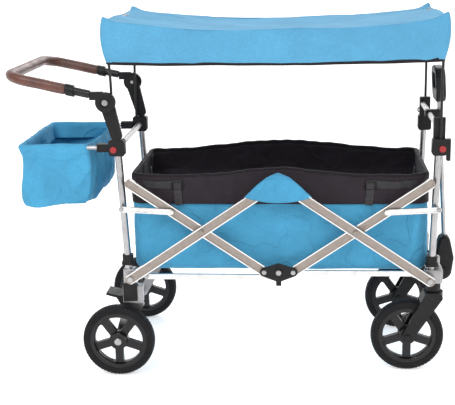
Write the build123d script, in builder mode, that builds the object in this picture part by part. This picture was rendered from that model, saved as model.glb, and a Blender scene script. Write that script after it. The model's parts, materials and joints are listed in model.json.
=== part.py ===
"""Folding push-and-pull wagon: scissor frame, fabric basket, canopy, push bar and pull handle.

Millimetres. +X is the front (pull handle), +Y is the far side, +Z is up. The origin is on the
ground, at the middle of the overall length and width.
"""

import os
from math import atan2, cos, degrees, radians, sin, sqrt

from build123d import *

os.makedirs("parts", exist_ok=True)

# ---------------------------------------------------------------- driving dimensions
base_length = 900.0  # between the rear and the front base pivots
rear_reach = 365.0  # rear base pivot to the back of the push bar
front_reach = 99.0  # front base pivot to the front of the pull handle's boot
base_height = 305.0  # height of the base pivots
bar_angle = 34.0  # degrees, cross bars from the horizontal
crossing_run = 266.0  # base pivot to crossing, along a bar
bracket_half = 43.5  # centre of the wagon to a middle bracket's pivot
bar_width = 30.0
upper_tail = 258.0  # crossing to the top end of an inner bar
strut_tap = 109.5  # crossing to the strut's pivot, along the inner bar

wheel_radius = 111.0
wheel_width = 42.0
rear_track = 516.0
front_track = 370.0
rear_axle_back = 43.0  # rear axle behind the rear base pivot
caster_stem_ahead = 18.0  # caster stem ahead of the front base pivot
caster_trail = 77.0

post_y = 219.0  # half the spacing of the corner posts
post_wide = 28.0  # across the wagon
post_deep = 20.0  # along the wagon
post_low = 236.0
post_high = 688.0
post_ends = {"rear": 236.0, "front": 294.0}  # the front posts stop above the casters
rear_post_foot = -6.0  # post axis from the base pivot at post_low
rear_post_head = -28.0  # the same at post_high
front_post_foot = 4.0
front_post_head = 17.0

# layers across the wagon, measured outward from the middle plane
inner_bar = (236.0, 248.0)
outer_bar = (250.0, 262.0)
strut_layer = (250.0, 256.0)
rear_rail_layer = (220.0, 230.0)
front_rail_layer = (207.0, 217.0)

basket_half = 198.0
basket_rim = 608.0
basket_floor = 318.0
basket_clear = 6.0  # basket ends inside the base pivots
band_low = 530.0

block_low = 680.0
block_high = 730.0
disc_height = 844.0
disc_back = 56.0
disc_y = 240.0
canopy_low = 960.0
canopy_high = 1087.0
canopy_sag = 28.0
canopy_half = 268.0
bag_frame_height = 702.0
pivot_boss = 14.0  # radius of the boss round a base pivot
running = 0.05  # radial clearance of a turning pin, and the gap at a bolted joint

# ---------------------------------------------------------------- derived places
total_length = rear_reach + base_length + front_reach
x_rear = rear_reach - total_length / 2
x_front = x_rear + base_length
x_mid = (x_rear + x_front) / 2
slope_x = cos(radians(bar_angle))
slope_z = sin(radians(bar_angle))
bar_span = (base_length / 2 - bracket_half) / slope_x
top_height = base_height + bar_span * slope_z
crossing_x = crossing_run * slope_x
crossing_height = base_height + crossing_run * slope_z
low_height = crossing_height - (bar_span - crossing_run) * slope_z
strut_height = 523.0
strut_back = 20.0
strut_run = crossing_x - strut_tap * slope_x + strut_back
strut_rise = crossing_height + strut_tap * slope_z - strut_height
ENDS = {"rear": (x_rear, 1), "front": (x_front, -1)}


def save(builder, name):
    """Label a finished piece and write it as its own STEP file."""
    builder.part.label = name
    export_step(builder.part, f"parts/{name}.step")


def across(x, z, radius, inner, outer, mode=Mode.ADD):
    """A cylinder across the wagon on the near side, from inner to outer."""
    with Locations((x, -(inner + outer) / 2, z)):
        Cylinder(radius, outer - inner, rotation=(90, 0, 0), mode=mode)


def block(x_low, x_high, inner, outer, z_low, z_high, mode=Mode.ADD):
    """A rectangular block on the near side."""
    with Locations(((x_low + x_high) / 2, -(inner + outer) / 2, (z_low + z_high) / 2)):
        Box(x_high - x_low, outer - inner, z_high - z_low, mode=mode)


def soft_block(x_low, x_high, inner, outer, z_low, z_high, corner):
    """An upright block on the near side with its four upright edges rounded."""
    with BuildSketch(Plane.XY.offset(z_low)) as foot:
        with Locations(((x_low + x_high) / 2, -(inner + outer) / 2)):
            RectangleRounded(x_high - x_low, outer - inner, corner)
    extrude(foot.sketch, amount=z_high - z_low)


def bar_face(start, end, width, layer):
    """The outline of a round-ended bar from start to end, at its inner face."""
    length = sqrt((end[0] - start[0]) ** 2 + (end[1] - start[1]) ** 2)
    turn = degrees(atan2(end[1] - start[1], end[0] - start[0]))
    with BuildSketch(Plane.XZ.offset(layer)) as outline:
        with Locations(((start[0] + end[0]) / 2, (start[1] + end[1]) / 2)):
            SlotCenterToCenter(length, width, rotation=turn)
    return outline.sketch


def post_x(end, z):
    """The x of a corner post's axis at height z."""
    x = ENDS[end][0]
    foot, head = (
        (rear_post_foot, rear_post_head)
        if end == "rear"
        else (front_post_foot, front_post_head)
    )
    return x + foot + (head - foot) * (z - post_low) / (post_high - post_low)


# ---------------------------------------------------------------- corner posts
def make_posts(end):
    """Two oval tubes that lean outward, near and far."""
    start = post_ends[end]
    lean = Vector(post_x(end, post_high) - post_x(end, start), 0, post_high - start)
    with BuildPart() as posts:
        with BuildSketch(Plane.XY.offset(start)):
            with Locations((post_x(end, start), -post_y)):
                SlotOverall(post_wide, post_deep, rotation=90)
                SlotOverall(post_wide - 4, post_deep - 4, rotation=90, mode=Mode.SUBTRACT)
        extrude(amount=lean.length, dir=lean)
        mirror(about=Plane.XZ)
    save(posts, f"{end}_posts")


def cut_post(end, z_low, z_high, gap=0.0):
    """Take a corner post's oval, leaning as the post does, out of the active part."""
    with BuildSketch(Plane.XY.offset(z_low)) as oval:
        with Locations((post_x(end, z_low), -post_y)):
            SlotOverall(post_wide + 2 * gap, post_deep + 2 * gap, rotation=90)
    lean = Vector(post_x(end, z_high) - post_x(end, z_low), 0, z_high - z_low)
    extrude(oval.sketch, amount=lean.length, dir=lean, mode=Mode.SUBTRACT)


for post_end in ENDS:
    make_posts(post_end)


# ---------------------------------------------------------------- post collars and castings
collar_low = 342.0
collar_high = 374.0


def make_collars(end):
    """Lock collars low on the posts, with a raised lower lip; guard blocks beside the rear feet."""
    x = post_x(end, (collar_low + collar_high) / 2)
    with BuildPart() as collars:
        with BuildSketch(Plane.XY.offset(collar_low)):
            with Locations((x, -post_y)):
                RectangleRounded(post_deep + 12, post_wide + 2, 9)
        extrude(amount=collar_high - collar_low)
        with BuildSketch(Plane.XY.offset(collar_low)):
            with Locations((x, -post_y)):
                RectangleRounded(post_deep + 18, post_wide + 4, 9)
        extrude(amount=9)
        cut_post(end, collar_low - 2, collar_high + 2)
        if end == "rear":
            block(x_rear - 27, x_rear + 16, 238 + running, 244, 230, 286)
            across(x_rear, base_height, pivot_boss + 3, 237, 250, Mode.SUBTRACT)
        mirror(about=Plane.XZ)
    save(collars, f"{end}_post_collars")


for collar_end in ENDS:
    make_collars(collar_end)

pin_radius = 5.0
casting_foot_low = 223.0
rear_axle_x = x_rear - rear_axle_back
axle_radius = 6.0
axle_bracket = (206.0, 222.0)
brake_x = rear_axle_x + 12
brake_height = 172.0
brake_radius = 5.0
rail_pin_ahead = 45.0
rail_pin_radius = 4.0
front_rail_height = 315.0

with BuildPart() as rear_castings:
    soft_block(x_rear - 30, x_rear + 31, 200, 238, casting_foot_low, 275, 7)
    soft_block(x_rear - 26, x_rear + 14, 202, 238, 275, 330, 7)
    fillet(rear_castings.edges().group_by(Axis.Z)[-1], 4)
    across(x_rear, base_height, pivot_boss, 238, 249.8)
    block(x_rear + 14, x_rear + rail_pin_ahead, 208, 218, 297, 313)
    across(x_rear + rail_pin_ahead, base_height, 8, 208, 218)
    across(x_rear + rail_pin_ahead, base_height, rail_pin_radius, 208, 218, Mode.SUBTRACT)
    across(x_rear, base_height, pin_radius, 236, 250, Mode.SUBTRACT)
    cut_post("rear", post_low, 340)
    with BuildSketch(Plane.XZ.offset(axle_bracket[0])):
        with Locations((rear_axle_x, wheel_radius)):
            Circle(17)
        with Locations((x_rear - 18, casting_foot_low - 12), (x_rear + 19, casting_foot_low - 12)):
            Circle(12 - running)
        make_hull()
    extrude(amount=axle_bracket[1] - axle_bracket[0])
    across(rear_axle_x, wheel_radius, axle_radius, 200, 230, Mode.SUBTRACT)
    across(brake_x, brake_height, brake_radius + running, 200, 230, Mode.SUBTRACT)
    mirror(about=Plane.XZ)
save(rear_castings, "rear_castings")

stem_x = x_front + caster_stem_ahead
stem_y = front_track / 2
stem_radius = 8.0
housing_radius = 17.0
housing_low = 284.0
housing_high = 364.0

with BuildPart() as front_castings:
    soft_block(x_front - 2, x_front + 40, stem_y - 22, 238, 292, 334, 8)
    soft_block(x_front - 14, x_front + 20, 200, 238, 292, 334, 8)
    fillet(front_castings.edges().group_by(Axis.Z)[-1], 4)
    across(x_front, base_height, pivot_boss, 238, 249.8)
    block(x_front - rail_pin_ahead, x_front - 14, 220, 230, front_rail_height - 8, front_rail_height + 8)
    across(x_front - rail_pin_ahead, front_rail_height, 8, 220, 230)
    across(x_front - rail_pin_ahead, front_rail_height, rail_pin_radius, 220, 230, Mode.SUBTRACT)
    across(x_front, base_height, pin_radius, 236, 250, Mode.SUBTRACT)
    cut_post("front", post_low, 340)
    with Locations((stem_x, -stem_y, (housing_low + housing_high) / 2)):
        Cylinder(housing_radius + running, housing_high - housing_low + 2, mode=Mode.SUBTRACT)
        Cylinder(housing_radius, housing_high - housing_low)
    fillet(front_castings.edges().group_by(Axis.Z)[-1], 5)
    with Locations((stem_x, -stem_y, housing_low + 35)):
        Cylinder(stem_radius + running, 70, mode=Mode.SUBTRACT)
    mirror(about=Plane.XZ)
save(front_castings, "front_castings")

# ---------------------------------------------------------------- wheels
tyre_inner = 88.0
window_outer = 76.0
hub_radius = 26.0
spoke_width = 25.0
spoke_count = 5
front_axle_radius = 5.0
front_axle_x = stem_x - caster_trail
WHEELS = {
    "rear_near": (rear_axle_x, -rear_track / 2),
    "rear_far": (rear_axle_x, rear_track / 2),
    "front_near": (front_axle_x, -front_track / 2),
    "front_far": (front_axle_x, front_track / 2),
}


def make_tyre(name, x, y):
    """A ringed tyre: round shoulders, a side step and two tread grooves, turned about its axle."""
    half = wheel_width / 2
    with BuildPart() as tyre:
        with BuildSketch(Plane(origin=(x, y, wheel_radius), x_dir=(1, 0, 0), z_dir=(0, 0, 1))):
            with BuildLine():
                Polyline(
                    (tyre_inner, -half + 4),
                    (tyre_inner + 8, -half),
                    (wheel_radius - 7, -half),
                )
                RadiusArc((wheel_radius - 7, -half), (wheel_radius, -half + 7), -7)
                Line((wheel_radius, -half + 7), (wheel_radius, half - 7))
                RadiusArc((wheel_radius, half - 7), (wheel_radius - 7, half), -7)
                Polyline(
                    (wheel_radius - 7, half),
                    (tyre_inner + 8, half),
                    (tyre_inner, half - 4),
                    (tyre_inner, -half + 4),
                )
            make_face()
            with Locations((wheel_radius, -6), (wheel_radius, 6)):
                Rectangle(4, 3, mode=Mode.SUBTRACT)
            with Locations((tyre_inner + 13, -half), (tyre_inner + 13, half)):
                Rectangle(3, 3, mode=Mode.SUBTRACT)
        revolve(axis=Axis((x, y, wheel_radius), (0, 1, 0)))
    save(tyre, f"{name}_tyre")


def make_rim(name, x, y, bore):
    """A moulded five-spoke rim with triangular windows, an outer band and a hub."""
    half = wheel_width / 2
    middle = Plane(origin=(x, y, wheel_radius), x_dir=(1, 0, 0), z_dir=(0, -1, 0))
    with BuildPart() as rim:
        with BuildSketch(middle.offset(-8)):
            Circle(window_outer + 4)
        extrude(amount=16)
        with BuildSketch(middle.offset(-half + 4)):
            Circle(tyre_inner)
            Circle(window_outer, mode=Mode.SUBTRACT)
        extrude(amount=wheel_width - 8)
        with BuildSketch(middle.offset(-half)):
            Circle(hub_radius)
        extrude(amount=wheel_width)
        with BuildSketch(middle.offset(-half)):
            Circle(window_outer - 2)
            Circle(hub_radius + 3, mode=Mode.SUBTRACT)
            with PolarLocations(window_outer / 2, spoke_count, start_angle=-90):
                Rectangle(window_outer * 1.2, spoke_width, mode=Mode.SUBTRACT)
            fillet(vertices(), 5)
        extrude(amount=wheel_width, mode=Mode.SUBTRACT)
        with BuildSketch(middle.offset(-half)):
            Circle(bore + running)
        extrude(amount=wheel_width, mode=Mode.SUBTRACT)
    save(rim, f"{name}_rim")


for wheel_name, (wheel_x, wheel_y) in WHEELS.items():
    make_tyre(wheel_name, wheel_x, wheel_y)
    own_axle = axle_radius if wheel_name.startswith("rear") else front_axle_radius
    make_rim(wheel_name, wheel_x, wheel_y, own_axle)

# ---------------------------------------------------------------- rear axle, brackets and brake
axle_end = rear_track / 2 + wheel_width / 2 + 1
with BuildPart() as rear_axle:
    with Locations((rear_axle_x, 0, wheel_radius)):
        Cylinder(axle_radius, 2 * axle_end, rotation=(90, 0, 0))
    across(rear_axle_x, wheel_radius, 12, axle_end + running, axle_end + 5)
    fillet(rear_axle.edges().group_by(Axis.Y)[0], 4)
    across(rear_axle_x, wheel_radius, 11, 222 + running, rear_track / 2 - wheel_width / 2 - 1)
    across(rear_axle_x, wheel_radius, axle_radius + running, 221, 237, Mode.SUBTRACT)
    across(rear_axle_x, wheel_radius, axle_radius, 220, 238)
    mirror(about=Plane.XZ)
save(rear_axle, "rear_axle")

pedal_x = brake_x - 92
with BuildPart() as foot_brake:
    with Locations((brake_x, 0, brake_height)):
        Cylinder(11, 70, rotation=(90, 0, 0))
    with BuildSketch(Plane.XZ.offset(-35)):
        with BuildLine():
            Polyline(
                (brake_x, brake_height + 8),
                (brake_x - 50, brake_height + 4),
                (pedal_x, brake_height + 14),
                (pedal_x - 2, brake_height + 6),
                (brake_x - 50, brake_height - 6),
                (brake_x, brake_height - 8),
                (brake_x, brake_height + 8),
            )
        make_face()
    extrude(amount=70)
    with Locations((brake_x, 0, brake_height)):
        Cylinder(brake_radius + running, 90, rotation=(90, 0, 0), mode=Mode.SUBTRACT)
        Cylinder(brake_radius, 2 * 228, rotation=(90, 0, 0))
save(foot_brake, "foot_brake")

# ---------------------------------------------------------------- caster forks
fork_inner = wheel_width / 2 + 3
fork_outer = fork_inner + 8
head_low = 224.0
head_high = 253.0


def make_fork(name, y):
    """A caster fork: stem, collar, bulbous head and two blades down to the axle."""
    with BuildPart() as fork:
        with BuildSketch(Plane.XZ.offset(-y - fork_outer)):
            with Locations((front_axle_x, wheel_radius)):
                Circle(17)
            with Locations((stem_x - 16, head_low + 15), (stem_x + 12, head_low + 15)):
                Circle(14)
            make_hull()
        extrude(amount=2 * fork_outer)
        with BuildSketch(Plane.XZ.offset(-y - fork_inner)):
            with Locations((front_axle_x, wheel_radius)):
                Circle(wheel_radius + 4)
        extrude(amount=2 * fork_inner, mode=Mode.SUBTRACT)
        with Locations((stem_x, y, (head_low + head_high) / 2)):
            Cylinder(29, head_high - head_low)
        with Locations((stem_x, y, (head_high + housing_low) / 2)):
            Cylinder(22, housing_low - head_high - 1)
        with Locations((stem_x, y, housing_low + 25)):
            Cylinder(stem_radius, 72)
        with Locations((front_axle_x, y, wheel_radius)):
            Cylinder(
                front_axle_radius + running, 2 * fork_outer + 2, rotation=(90, 0, 0), mode=Mode.SUBTRACT
            )
            Cylinder(front_axle_radius, 2 * fork_outer + 8, rotation=(90, 0, 0))
        for side in (-1, 1):
            with Locations((front_axle_x, y + side * (fork_outer + 2.5 + running), wheel_radius)):
                Cylinder(9, 5, rotation=(90, 0, 0))
        fillet(fork.edges().group_by(Axis.Y)[0], 2)
        fillet(fork.edges().group_by(Axis.Y)[-1], 2)
    save(fork, f"{name}_fork")


for caster_name, caster_y in (("front_near", -stem_y), ("front_far", stem_y)):
    make_fork(caster_name, caster_y)


# ---------------------------------------------------------------- scissor bars
def to_x(end, run):
    """The x that lies run towards the middle from an end's base pivot."""
    x, inward = ENDS[end]
    return x + inward * run


def bolt(x, z, shank, inner, outer, head):
    """A pivot bolt on the near side: a shank from inner to outer under a low round head."""
    across(x, z, shank, inner, outer)
    across(x, z, head, outer, outer + 2.4)
    across(x, z, head - 1.6, outer + 2.4, outer + 4)


def make_bars(name, end, start, finish, layer, holes, bolted=False):
    """A pair of pressed bars: rounded ends, a sunk face, pivot holes and a crossing bolt."""
    first = (to_x(end, start[0]), start[1])
    last = (to_x(end, finish[0]), finish[1])
    with BuildPart() as bars:
        extrude(bar_face(first, last, bar_width, layer[0]), amount=layer[1] - layer[0])
        sunk = bar_face(first, last, bar_width - 9, layer[1] - 2)
        extrude(sunk, amount=3, mode=Mode.SUBTRACT)
        for run, height, radius in holes:
            across(to_x(end, run), height, radius + 5, layer[0], layer[1])
            across(to_x(end, run), height, radius, layer[0] - 2, layer[1] + 2, Mode.SUBTRACT)
        if bolted:
            bolt(to_x(end, crossing_x), crossing_height, bolt_radius, 237, layer[1] + running, 8)
        mirror(about=Plane.XZ)
    save(bars, name)


low_pivot = (base_length / 2 - bracket_half, low_height)
top_pivot = (base_length / 2 - bracket_half, top_height)
crossing = (crossing_x, crossing_height)
base_pivot = (0.0, base_height)
inner_top = (crossing_x - upper_tail * slope_x, crossing_height + upper_tail * slope_z)
bolt_radius = 4.0
turning = bolt_radius + running

make_bars(
    "rear_outer_bars",
    "rear",
    base_pivot,
    top_pivot,
    outer_bar,
    [(*base_pivot, pin_radius + running), (*crossing, turning), (*top_pivot, turning)],
    bolted=True,
)
make_bars(
    "rear_inner_bars",
    "rear",
    low_pivot,
    inner_top,
    inner_bar,
    [(*crossing, turning), (*low_pivot, turning)],
)
make_bars(
    "front_inner_bars",
    "front",
    low_pivot,
    inner_top,
    inner_bar,
    [(*crossing, turning), (*low_pivot, turning)],
)
make_bars(
    "front_outer_bars",
    "front",
    base_pivot,
    top_pivot,
    outer_bar,
    [(*base_pivot, pin_radius + running), (*crossing, turning), (*top_pivot, turning)],
    bolted=True,
)


# middle brackets
bracket_layer = (248.3, 254.3)
with BuildPart() as bottom_brackets:
    with BuildSketch(Plane.XZ.offset(bracket_layer[0])):
        with Locations((x_mid - bracket_half, low_height), (x_mid + bracket_half, low_height)):
            Circle(13)
        with Locations((x_mid, low_height + 16)):
            Circle(12)
        with Locations((x_mid, low_height - 16)):
            Circle(14)
        make_hull()
    extrude(amount=bracket_layer[1] - bracket_layer[0])
    block(x_mid - 8, x_mid + 8, *bracket_layer, low_height - 42, low_height - 20)
    across(x_mid, low_height, 12, bracket_layer[1], bracket_layer[1] + 3)
    across(x_mid, low_height, bolt_radius, 240, 262, Mode.SUBTRACT)
    for side in (-1, 1):
        across(x_mid + side * bracket_half, low_height, bolt_radius, 240, 262, Mode.SUBTRACT)
    mirror(about=Plane.XZ)
save(bottom_brackets, "bottom_middle_brackets")

with BuildPart() as bottom_bracket_bolts:
    for side in (-1, 1):
        bolt(x_mid + side * bracket_half, low_height, bolt_radius, 237, bracket_layer[1], 7)
    bolt(x_mid, low_height, bolt_radius, bracket_layer[0], bracket_layer[1] + 3, 8)
    mirror(about=Plane.XZ)
save(bottom_bracket_bolts, "bottom_bracket_bolts")

top_layer = (242.0, 249.7)
with BuildPart() as top_brackets:
    with BuildSketch(Plane.XZ.offset(top_layer[0])):
        with Locations((x_mid, top_height)):
            SlotCenterToCenter(2 * bracket_half, 28)
    extrude(amount=top_layer[1] - top_layer[0])
    across(x_mid - bracket_half, top_height, turning, 240, 252, Mode.SUBTRACT)
    bolt(x_mid - bracket_half, top_height, bolt_radius, top_layer[0], outer_bar[1] + 0.3, 8)
    mirror(about=Plane.XZ)
save(top_brackets, "top_middle_brackets")


# ---------------------------------------------------------------- struts from post to inner bar
def make_struts(end):
    """Flat links from the posts to the inner bars; the bar's end carries a rivet head only."""
    first = (to_x(end, -strut_back), strut_height)
    last = (to_x(end, strut_run - strut_back), strut_height + strut_rise)
    with BuildPart() as struts:
        extrude(bar_face(first, last, 17, strut_layer[0]), amount=strut_layer[1] - strut_layer[0])
        extrude(bar_face(first, last, 9, strut_layer[1] - 1), amount=2, mode=Mode.SUBTRACT)
        across(*last, 7, strut_layer[1] - 1, strut_layer[1] + 3)
        across(*first, 7, strut_layer[0], strut_layer[1])
        across(*first, bolt_radius + running, 245, 262, Mode.SUBTRACT)
        mirror(about=Plane.XZ)
    save(struts, f"{end}_struts")


for strut_end in ENDS:
    make_struts(strut_end)


# ---------------------------------------------------------------- folding lower rails
def make_rails(end, layer, height):
    """Half-rails hinged on the castings; they lap beside each other at the middle."""
    first = (to_x(end, rail_pin_ahead), height)
    last = (to_x(end, base_length / 2), height)
    with BuildPart() as rails:
        extrude(bar_face(first, last, 16, layer[0]), amount=layer[1] - layer[0])
        across(*first, rail_pin_radius + running, layer[0] - 1, layer[1] + 1, Mode.SUBTRACT)
        mirror(about=Plane.XZ)
    save(rails, f"{end}_lower_rails")


make_rails("rear", rear_rail_layer, base_height)
make_rails("front", front_rail_layer, front_rail_height)


def frame_bolts(end, rail_height):
    """A frame's own pivot bolts: base pivots, strut pivots with their spacers, rail pins."""
    x, _ = ENDS[end]
    strut_x = to_x(end, -strut_back)
    across(strut_x, strut_height, 6, post_y + post_wide / 2 - 3, 249.7)
    bolt(strut_x, strut_height, bolt_radius, 249.7, strut_layer[1] + 0.3, 7)
    cut_post(end, post_low, post_high)
    bolt(x, base_height, pin_radius, 238, outer_bar[1] + 0.3, 9)
    bolt(to_x(end, rail_pin_ahead), rail_height, rail_pin_radius, 207, 230.3, 7)


disc_x = x_rear - disc_back
disc_layer = (234.3, 250.0)
arm_layer = (222.0, 234.0)
with BuildPart() as rear_frame_bolts:
    frame_bolts("rear", base_height)
    bolt(disc_x, disc_height, pin_radius, arm_layer[0], disc_layer[1] + 0.3, 9)
    mirror(about=Plane.XZ)
save(rear_frame_bolts, "rear_frame_bolts")

with BuildPart() as front_frame_bolts:
    frame_bolts("front", front_rail_height)
    mirror(about=Plane.XZ)
save(front_frame_bolts, "front_frame_bolts")

# ---------------------------------------------------------------- post heads
block_inner = 203.0
block_outer = 234.0
button_radius = 10.0
button_height = 700.0
rod_radius = 4.0
rear_rod_x = x_rear - 43
front_rod_x = x_front + 22
rear_rod_y = 212.0
front_rod_y = 227.0
rod_low = 712.0
button_places = {"rear": x_rear - 40, "front": x_front + 28}
connector_back = 94.0


def head_block(blocks, end, x_low, x_high, rod_x, rod_y):
    """A moulded block on a post head, with a canopy rod socket and a button well."""
    with BuildSketch(Plane.XZ.offset(block_inner)) as face:
        with Locations(((x_low + x_high) / 2, (block_low + block_high) / 2)):
            RectangleRounded(x_high - x_low, block_high - block_low, 8)
    extrude(face.sketch, amount=block_outer - block_inner)
    fillet(blocks.edges().group_by(Axis.Y)[0], 3)
    cut_post(end, block_low - 1, post_high)
    with Locations((rod_x, -rod_y, (rod_low + block_high) / 2)):
        Cylinder(rod_radius + running, block_high - rod_low, mode=Mode.SUBTRACT)
    across(button_places[end], button_height, button_radius + 0.3, 226, block_outer + 1, Mode.SUBTRACT)


bag_tube_y = 205.0
bag_tube_radius = 6.0
connector_end = x_rear - 55
with BuildPart() as rear_head_blocks:
    head_block(rear_head_blocks, "rear", connector_end, x_rear - 7, rear_rod_x, rear_rod_y)
    block(x_rear - connector_back, connector_end - running, bag_tube_y - 11, bag_tube_y + 11, 690, 714)
    with Locations((connector_end - 30 - running, -bag_tube_y, bag_frame_height)):
        Cylinder(bag_tube_radius + running, 60, rotation=(0, 90, 0), mode=Mode.SUBTRACT)
    mirror(about=Plane.XZ)
save(rear_head_blocks, "rear_head_blocks")

cross_x = x_front + 12
cross_height = 768.0
cross_radius = 8.0
with BuildPart() as front_head_blocks:
    head_block(front_head_blocks, "front", x_front - 2, x_front + 41, front_rod_x, front_rod_y)
    block(x_front + 2, x_front + 36, 202, 220, block_high + running, 790)
    with Locations((cross_x, -208, cross_height)):
        Cylinder(cross_radius + running, 12 + running, rotation=(90, 0, 0), mode=Mode.SUBTRACT)
    mirror(about=Plane.XZ)
    block(x_front + 41 + running, x_front + 52, 206, 228, 664, 728)
save(front_head_blocks, "front_head_blocks")

for button_end, button_x in button_places.items():
    for button_side, sign in (("near", -1), ("far", 1)):
        with BuildPart() as button:
            with Locations((button_x, sign * 233.5, button_height)):
                Cylinder(button_radius, 8, rotation=(90, 0, 0))
            fillet(button.edges().group_by(Axis.Y)[0 if sign < 0 else -1], 2.5)
        save(button, f"{button_end}_{button_side}_button")

with BuildPart() as rear_cross_tube:
    with Locations((x_rear - 30, 0, 705)):
        Cylinder(9, 2 * block_inner, rotation=(90, 0, 0))
save(rear_cross_tube, "rear_cross_tube")

lower_cross_x = x_front + 10
with BuildPart() as front_cross_tubes:
    with Locations((cross_x, 0, cross_height)):
        Cylinder(cross_radius, 2 * 214, rotation=(90, 0, 0))
    with Locations((lower_cross_x, 0, base_height)):
        Cylinder(10, 2 * (stem_y - 22), rotation=(90, 0, 0))
    with Locations((x_front + 6, 223, 745)):
        Torus(8, 2.5, rotation=(90, 0, 0))
save(front_cross_tubes, "front_cross_tubes")

# ---------------------------------------------------------------- push bar
tube_radius = 12.0
leather_radius = 16.0
bar_back = x_rear - rear_reach + leather_radius
bar_height = 922.0
grip_start = x_rear - 172
push_corner = 62.0

with BuildPart() as handle_arms:
    with BuildSketch(Plane.XZ.offset(arm_layer[0])):
        with Locations((x_rear - 34, block_high + 12), (x_rear - 24, block_high + 12)):
            Circle(11.9)
        with Locations((disc_x, disc_height)):
            Circle(22)
        make_hull()
    extrude(amount=arm_layer[1] - arm_layer[0])
    across(disc_x, disc_height, pin_radius, 215, 240, Mode.SUBTRACT)
    mirror(about=Plane.XZ)
save(handle_arms, "handle_lower_arms")

with BuildPart() as handle_discs:
    across(disc_x, disc_height, 30, *disc_layer)
    fillet(handle_discs.edges().group_by(Axis.Y)[0], 4)
    across(disc_x, disc_height, 14, disc_layer[1] - 3, disc_layer[1] + 1, Mode.SUBTRACT)
    across(disc_x, disc_height, pin_radius + running, 230, 255, Mode.SUBTRACT)
    with BuildSketch(Plane.YZ.offset(disc_x - 6)):
        with Locations((-(disc_layer[0] + disc_layer[1]) / 2, disc_height + 20)):
            Rectangle(14, 24)
    extrude(amount=-40)
    mirror(about=Plane.XZ)
save(handle_discs, "handle_pivot_discs")


def push_route(start_x, start_z):
    """Half of the bar's centre line: up and back along the near arm, round to the middle."""
    rise = FilletPolyline(
        (start_x, -disc_y, start_z),
        (bar_back, -disc_y, bar_height),
        (bar_back, 0, bar_height),
        radius=push_corner,
    )
    return rise


tube_start_x = disc_x - 47
tube_start_z = disc_height + 24.5
with BuildPart() as push_tube:
    with BuildLine():
        route = push_route(tube_start_x, tube_start_z)
    with BuildSketch(Plane(origin=route @ 0, z_dir=route % 0)):
        Circle(tube_radius)
        Circle(tube_radius - 2, mode=Mode.SUBTRACT)
    sweep()
    mirror(about=Plane.XZ)
save(push_tube, "push_bar_tube")

with BuildPart() as leather_grip:
    with BuildLine():
        route = push_route(tube_start_x, tube_start_z)
    with BuildSketch(Plane(origin=route @ 0, z_dir=route % 0)):
        Circle(leather_radius)
        Circle(tube_radius, mode=Mode.SUBTRACT)
    sweep()
    with Locations((grip_start + 500, 0, bar_height)):
        Box(1000, 900, 300, mode=Mode.SUBTRACT)
    mirror(about=Plane.XZ)
save(leather_grip, "leather_grip")

with BuildPart() as grip_collars:
    with BuildLine():
        route = push_route(tube_start_x, tube_start_z)
    with BuildSketch(Plane(origin=route @ 0, z_dir=route % 0)):
        Circle(leather_radius + 1)
        Circle(tube_radius, mode=Mode.SUBTRACT)
    sweep()
    with Locations((grip_start + 500 + 24, 0, bar_height)):
        Box(1000, 900, 300, mode=Mode.SUBTRACT)
    with Locations((grip_start - 500, 0, bar_height)):
        Box(1000, 900, 300, mode=Mode.SUBTRACT)
    mirror(about=Plane.XZ)
save(grip_collars, "grip_collars")

# ---------------------------------------------------------------- canopy and its bows
skin = 4.0
bow_top = 1074.0
bow_bend = 890.0
bow_half = 254.0


def make_bow(name, x, y):
    """A bent rod: up from the socket, out under the skirt and over to the other side."""
    with BuildPart() as bow:
        with BuildLine() as line:
            FilletPolyline(
                (x, -y, rod_low + 1),
                (x, -y, bow_bend),
                (x, -bow_half, bow_top),
                (x, 0, bow_top),
                radius=[80, 25],
            )
        with BuildSketch(Plane(origin=line.line @ 0, z_dir=(0, 0, 1))):
            Circle(rod_radius)
        sweep()
        mirror(about=Plane.XZ)
    save(bow, name)


make_bow("rear_canopy_bow", rear_rod_x, rear_rod_y)
make_bow("front_canopy_bow", front_rod_x, front_rod_y)
canopy_rear_x = x_rear - 52
canopy_front_x = x_front + 31


def canopy_profile(inset, low):
    """The canopy seen from the side: straight ends and a sagging top, moved in by inset."""
    back = canopy_rear_x + inset
    ahead = canopy_front_x - inset
    top = canopy_high - inset
    with BuildSketch(Plane.XZ.offset(canopy_half - inset)) as profile:
        with BuildLine():
            Polyline((back, top), (back, low), (ahead, low), (ahead, top))
            ThreePointArc((ahead, top), ((back + ahead) / 2, top - canopy_sag), (back, top))
        make_face()
    return profile.sketch


with BuildPart() as canopy_fabric:
    extrude(canopy_profile(0, canopy_low), amount=-2 * canopy_half)
    extrude(canopy_profile(skin, canopy_low - 10), amount=-2 * (canopy_half - skin), mode=Mode.SUBTRACT)
save(canopy_fabric, "canopy_fabric")

# ---------------------------------------------------------------- pull handle
pull_pivot_x = x_front + 62
pull_pivot_height = 266.0
pull_foot = (x_front + 72, 305.0)
pull_head = (x_front + 38, 860.0)
pull_radius = 7.0
pull_run = sqrt((pull_foot[0] - pull_head[0]) ** 2 + (pull_head[1] - pull_foot[1]) ** 2)
pull_axis = Plane(
    origin=(pull_foot[0], 0, pull_foot[1]),
    x_dir=(0, 1, 0),
    z_dir=(pull_head[0] - pull_foot[0], 0, pull_head[1] - pull_foot[1]),
)
tube_in_grip = pull_run - 22

with BuildPart() as pull_tube:
    with BuildSketch(pull_axis):
        Circle(pull_radius)
    extrude(amount=tube_in_grip)
save(pull_tube, "pull_tube")

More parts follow.
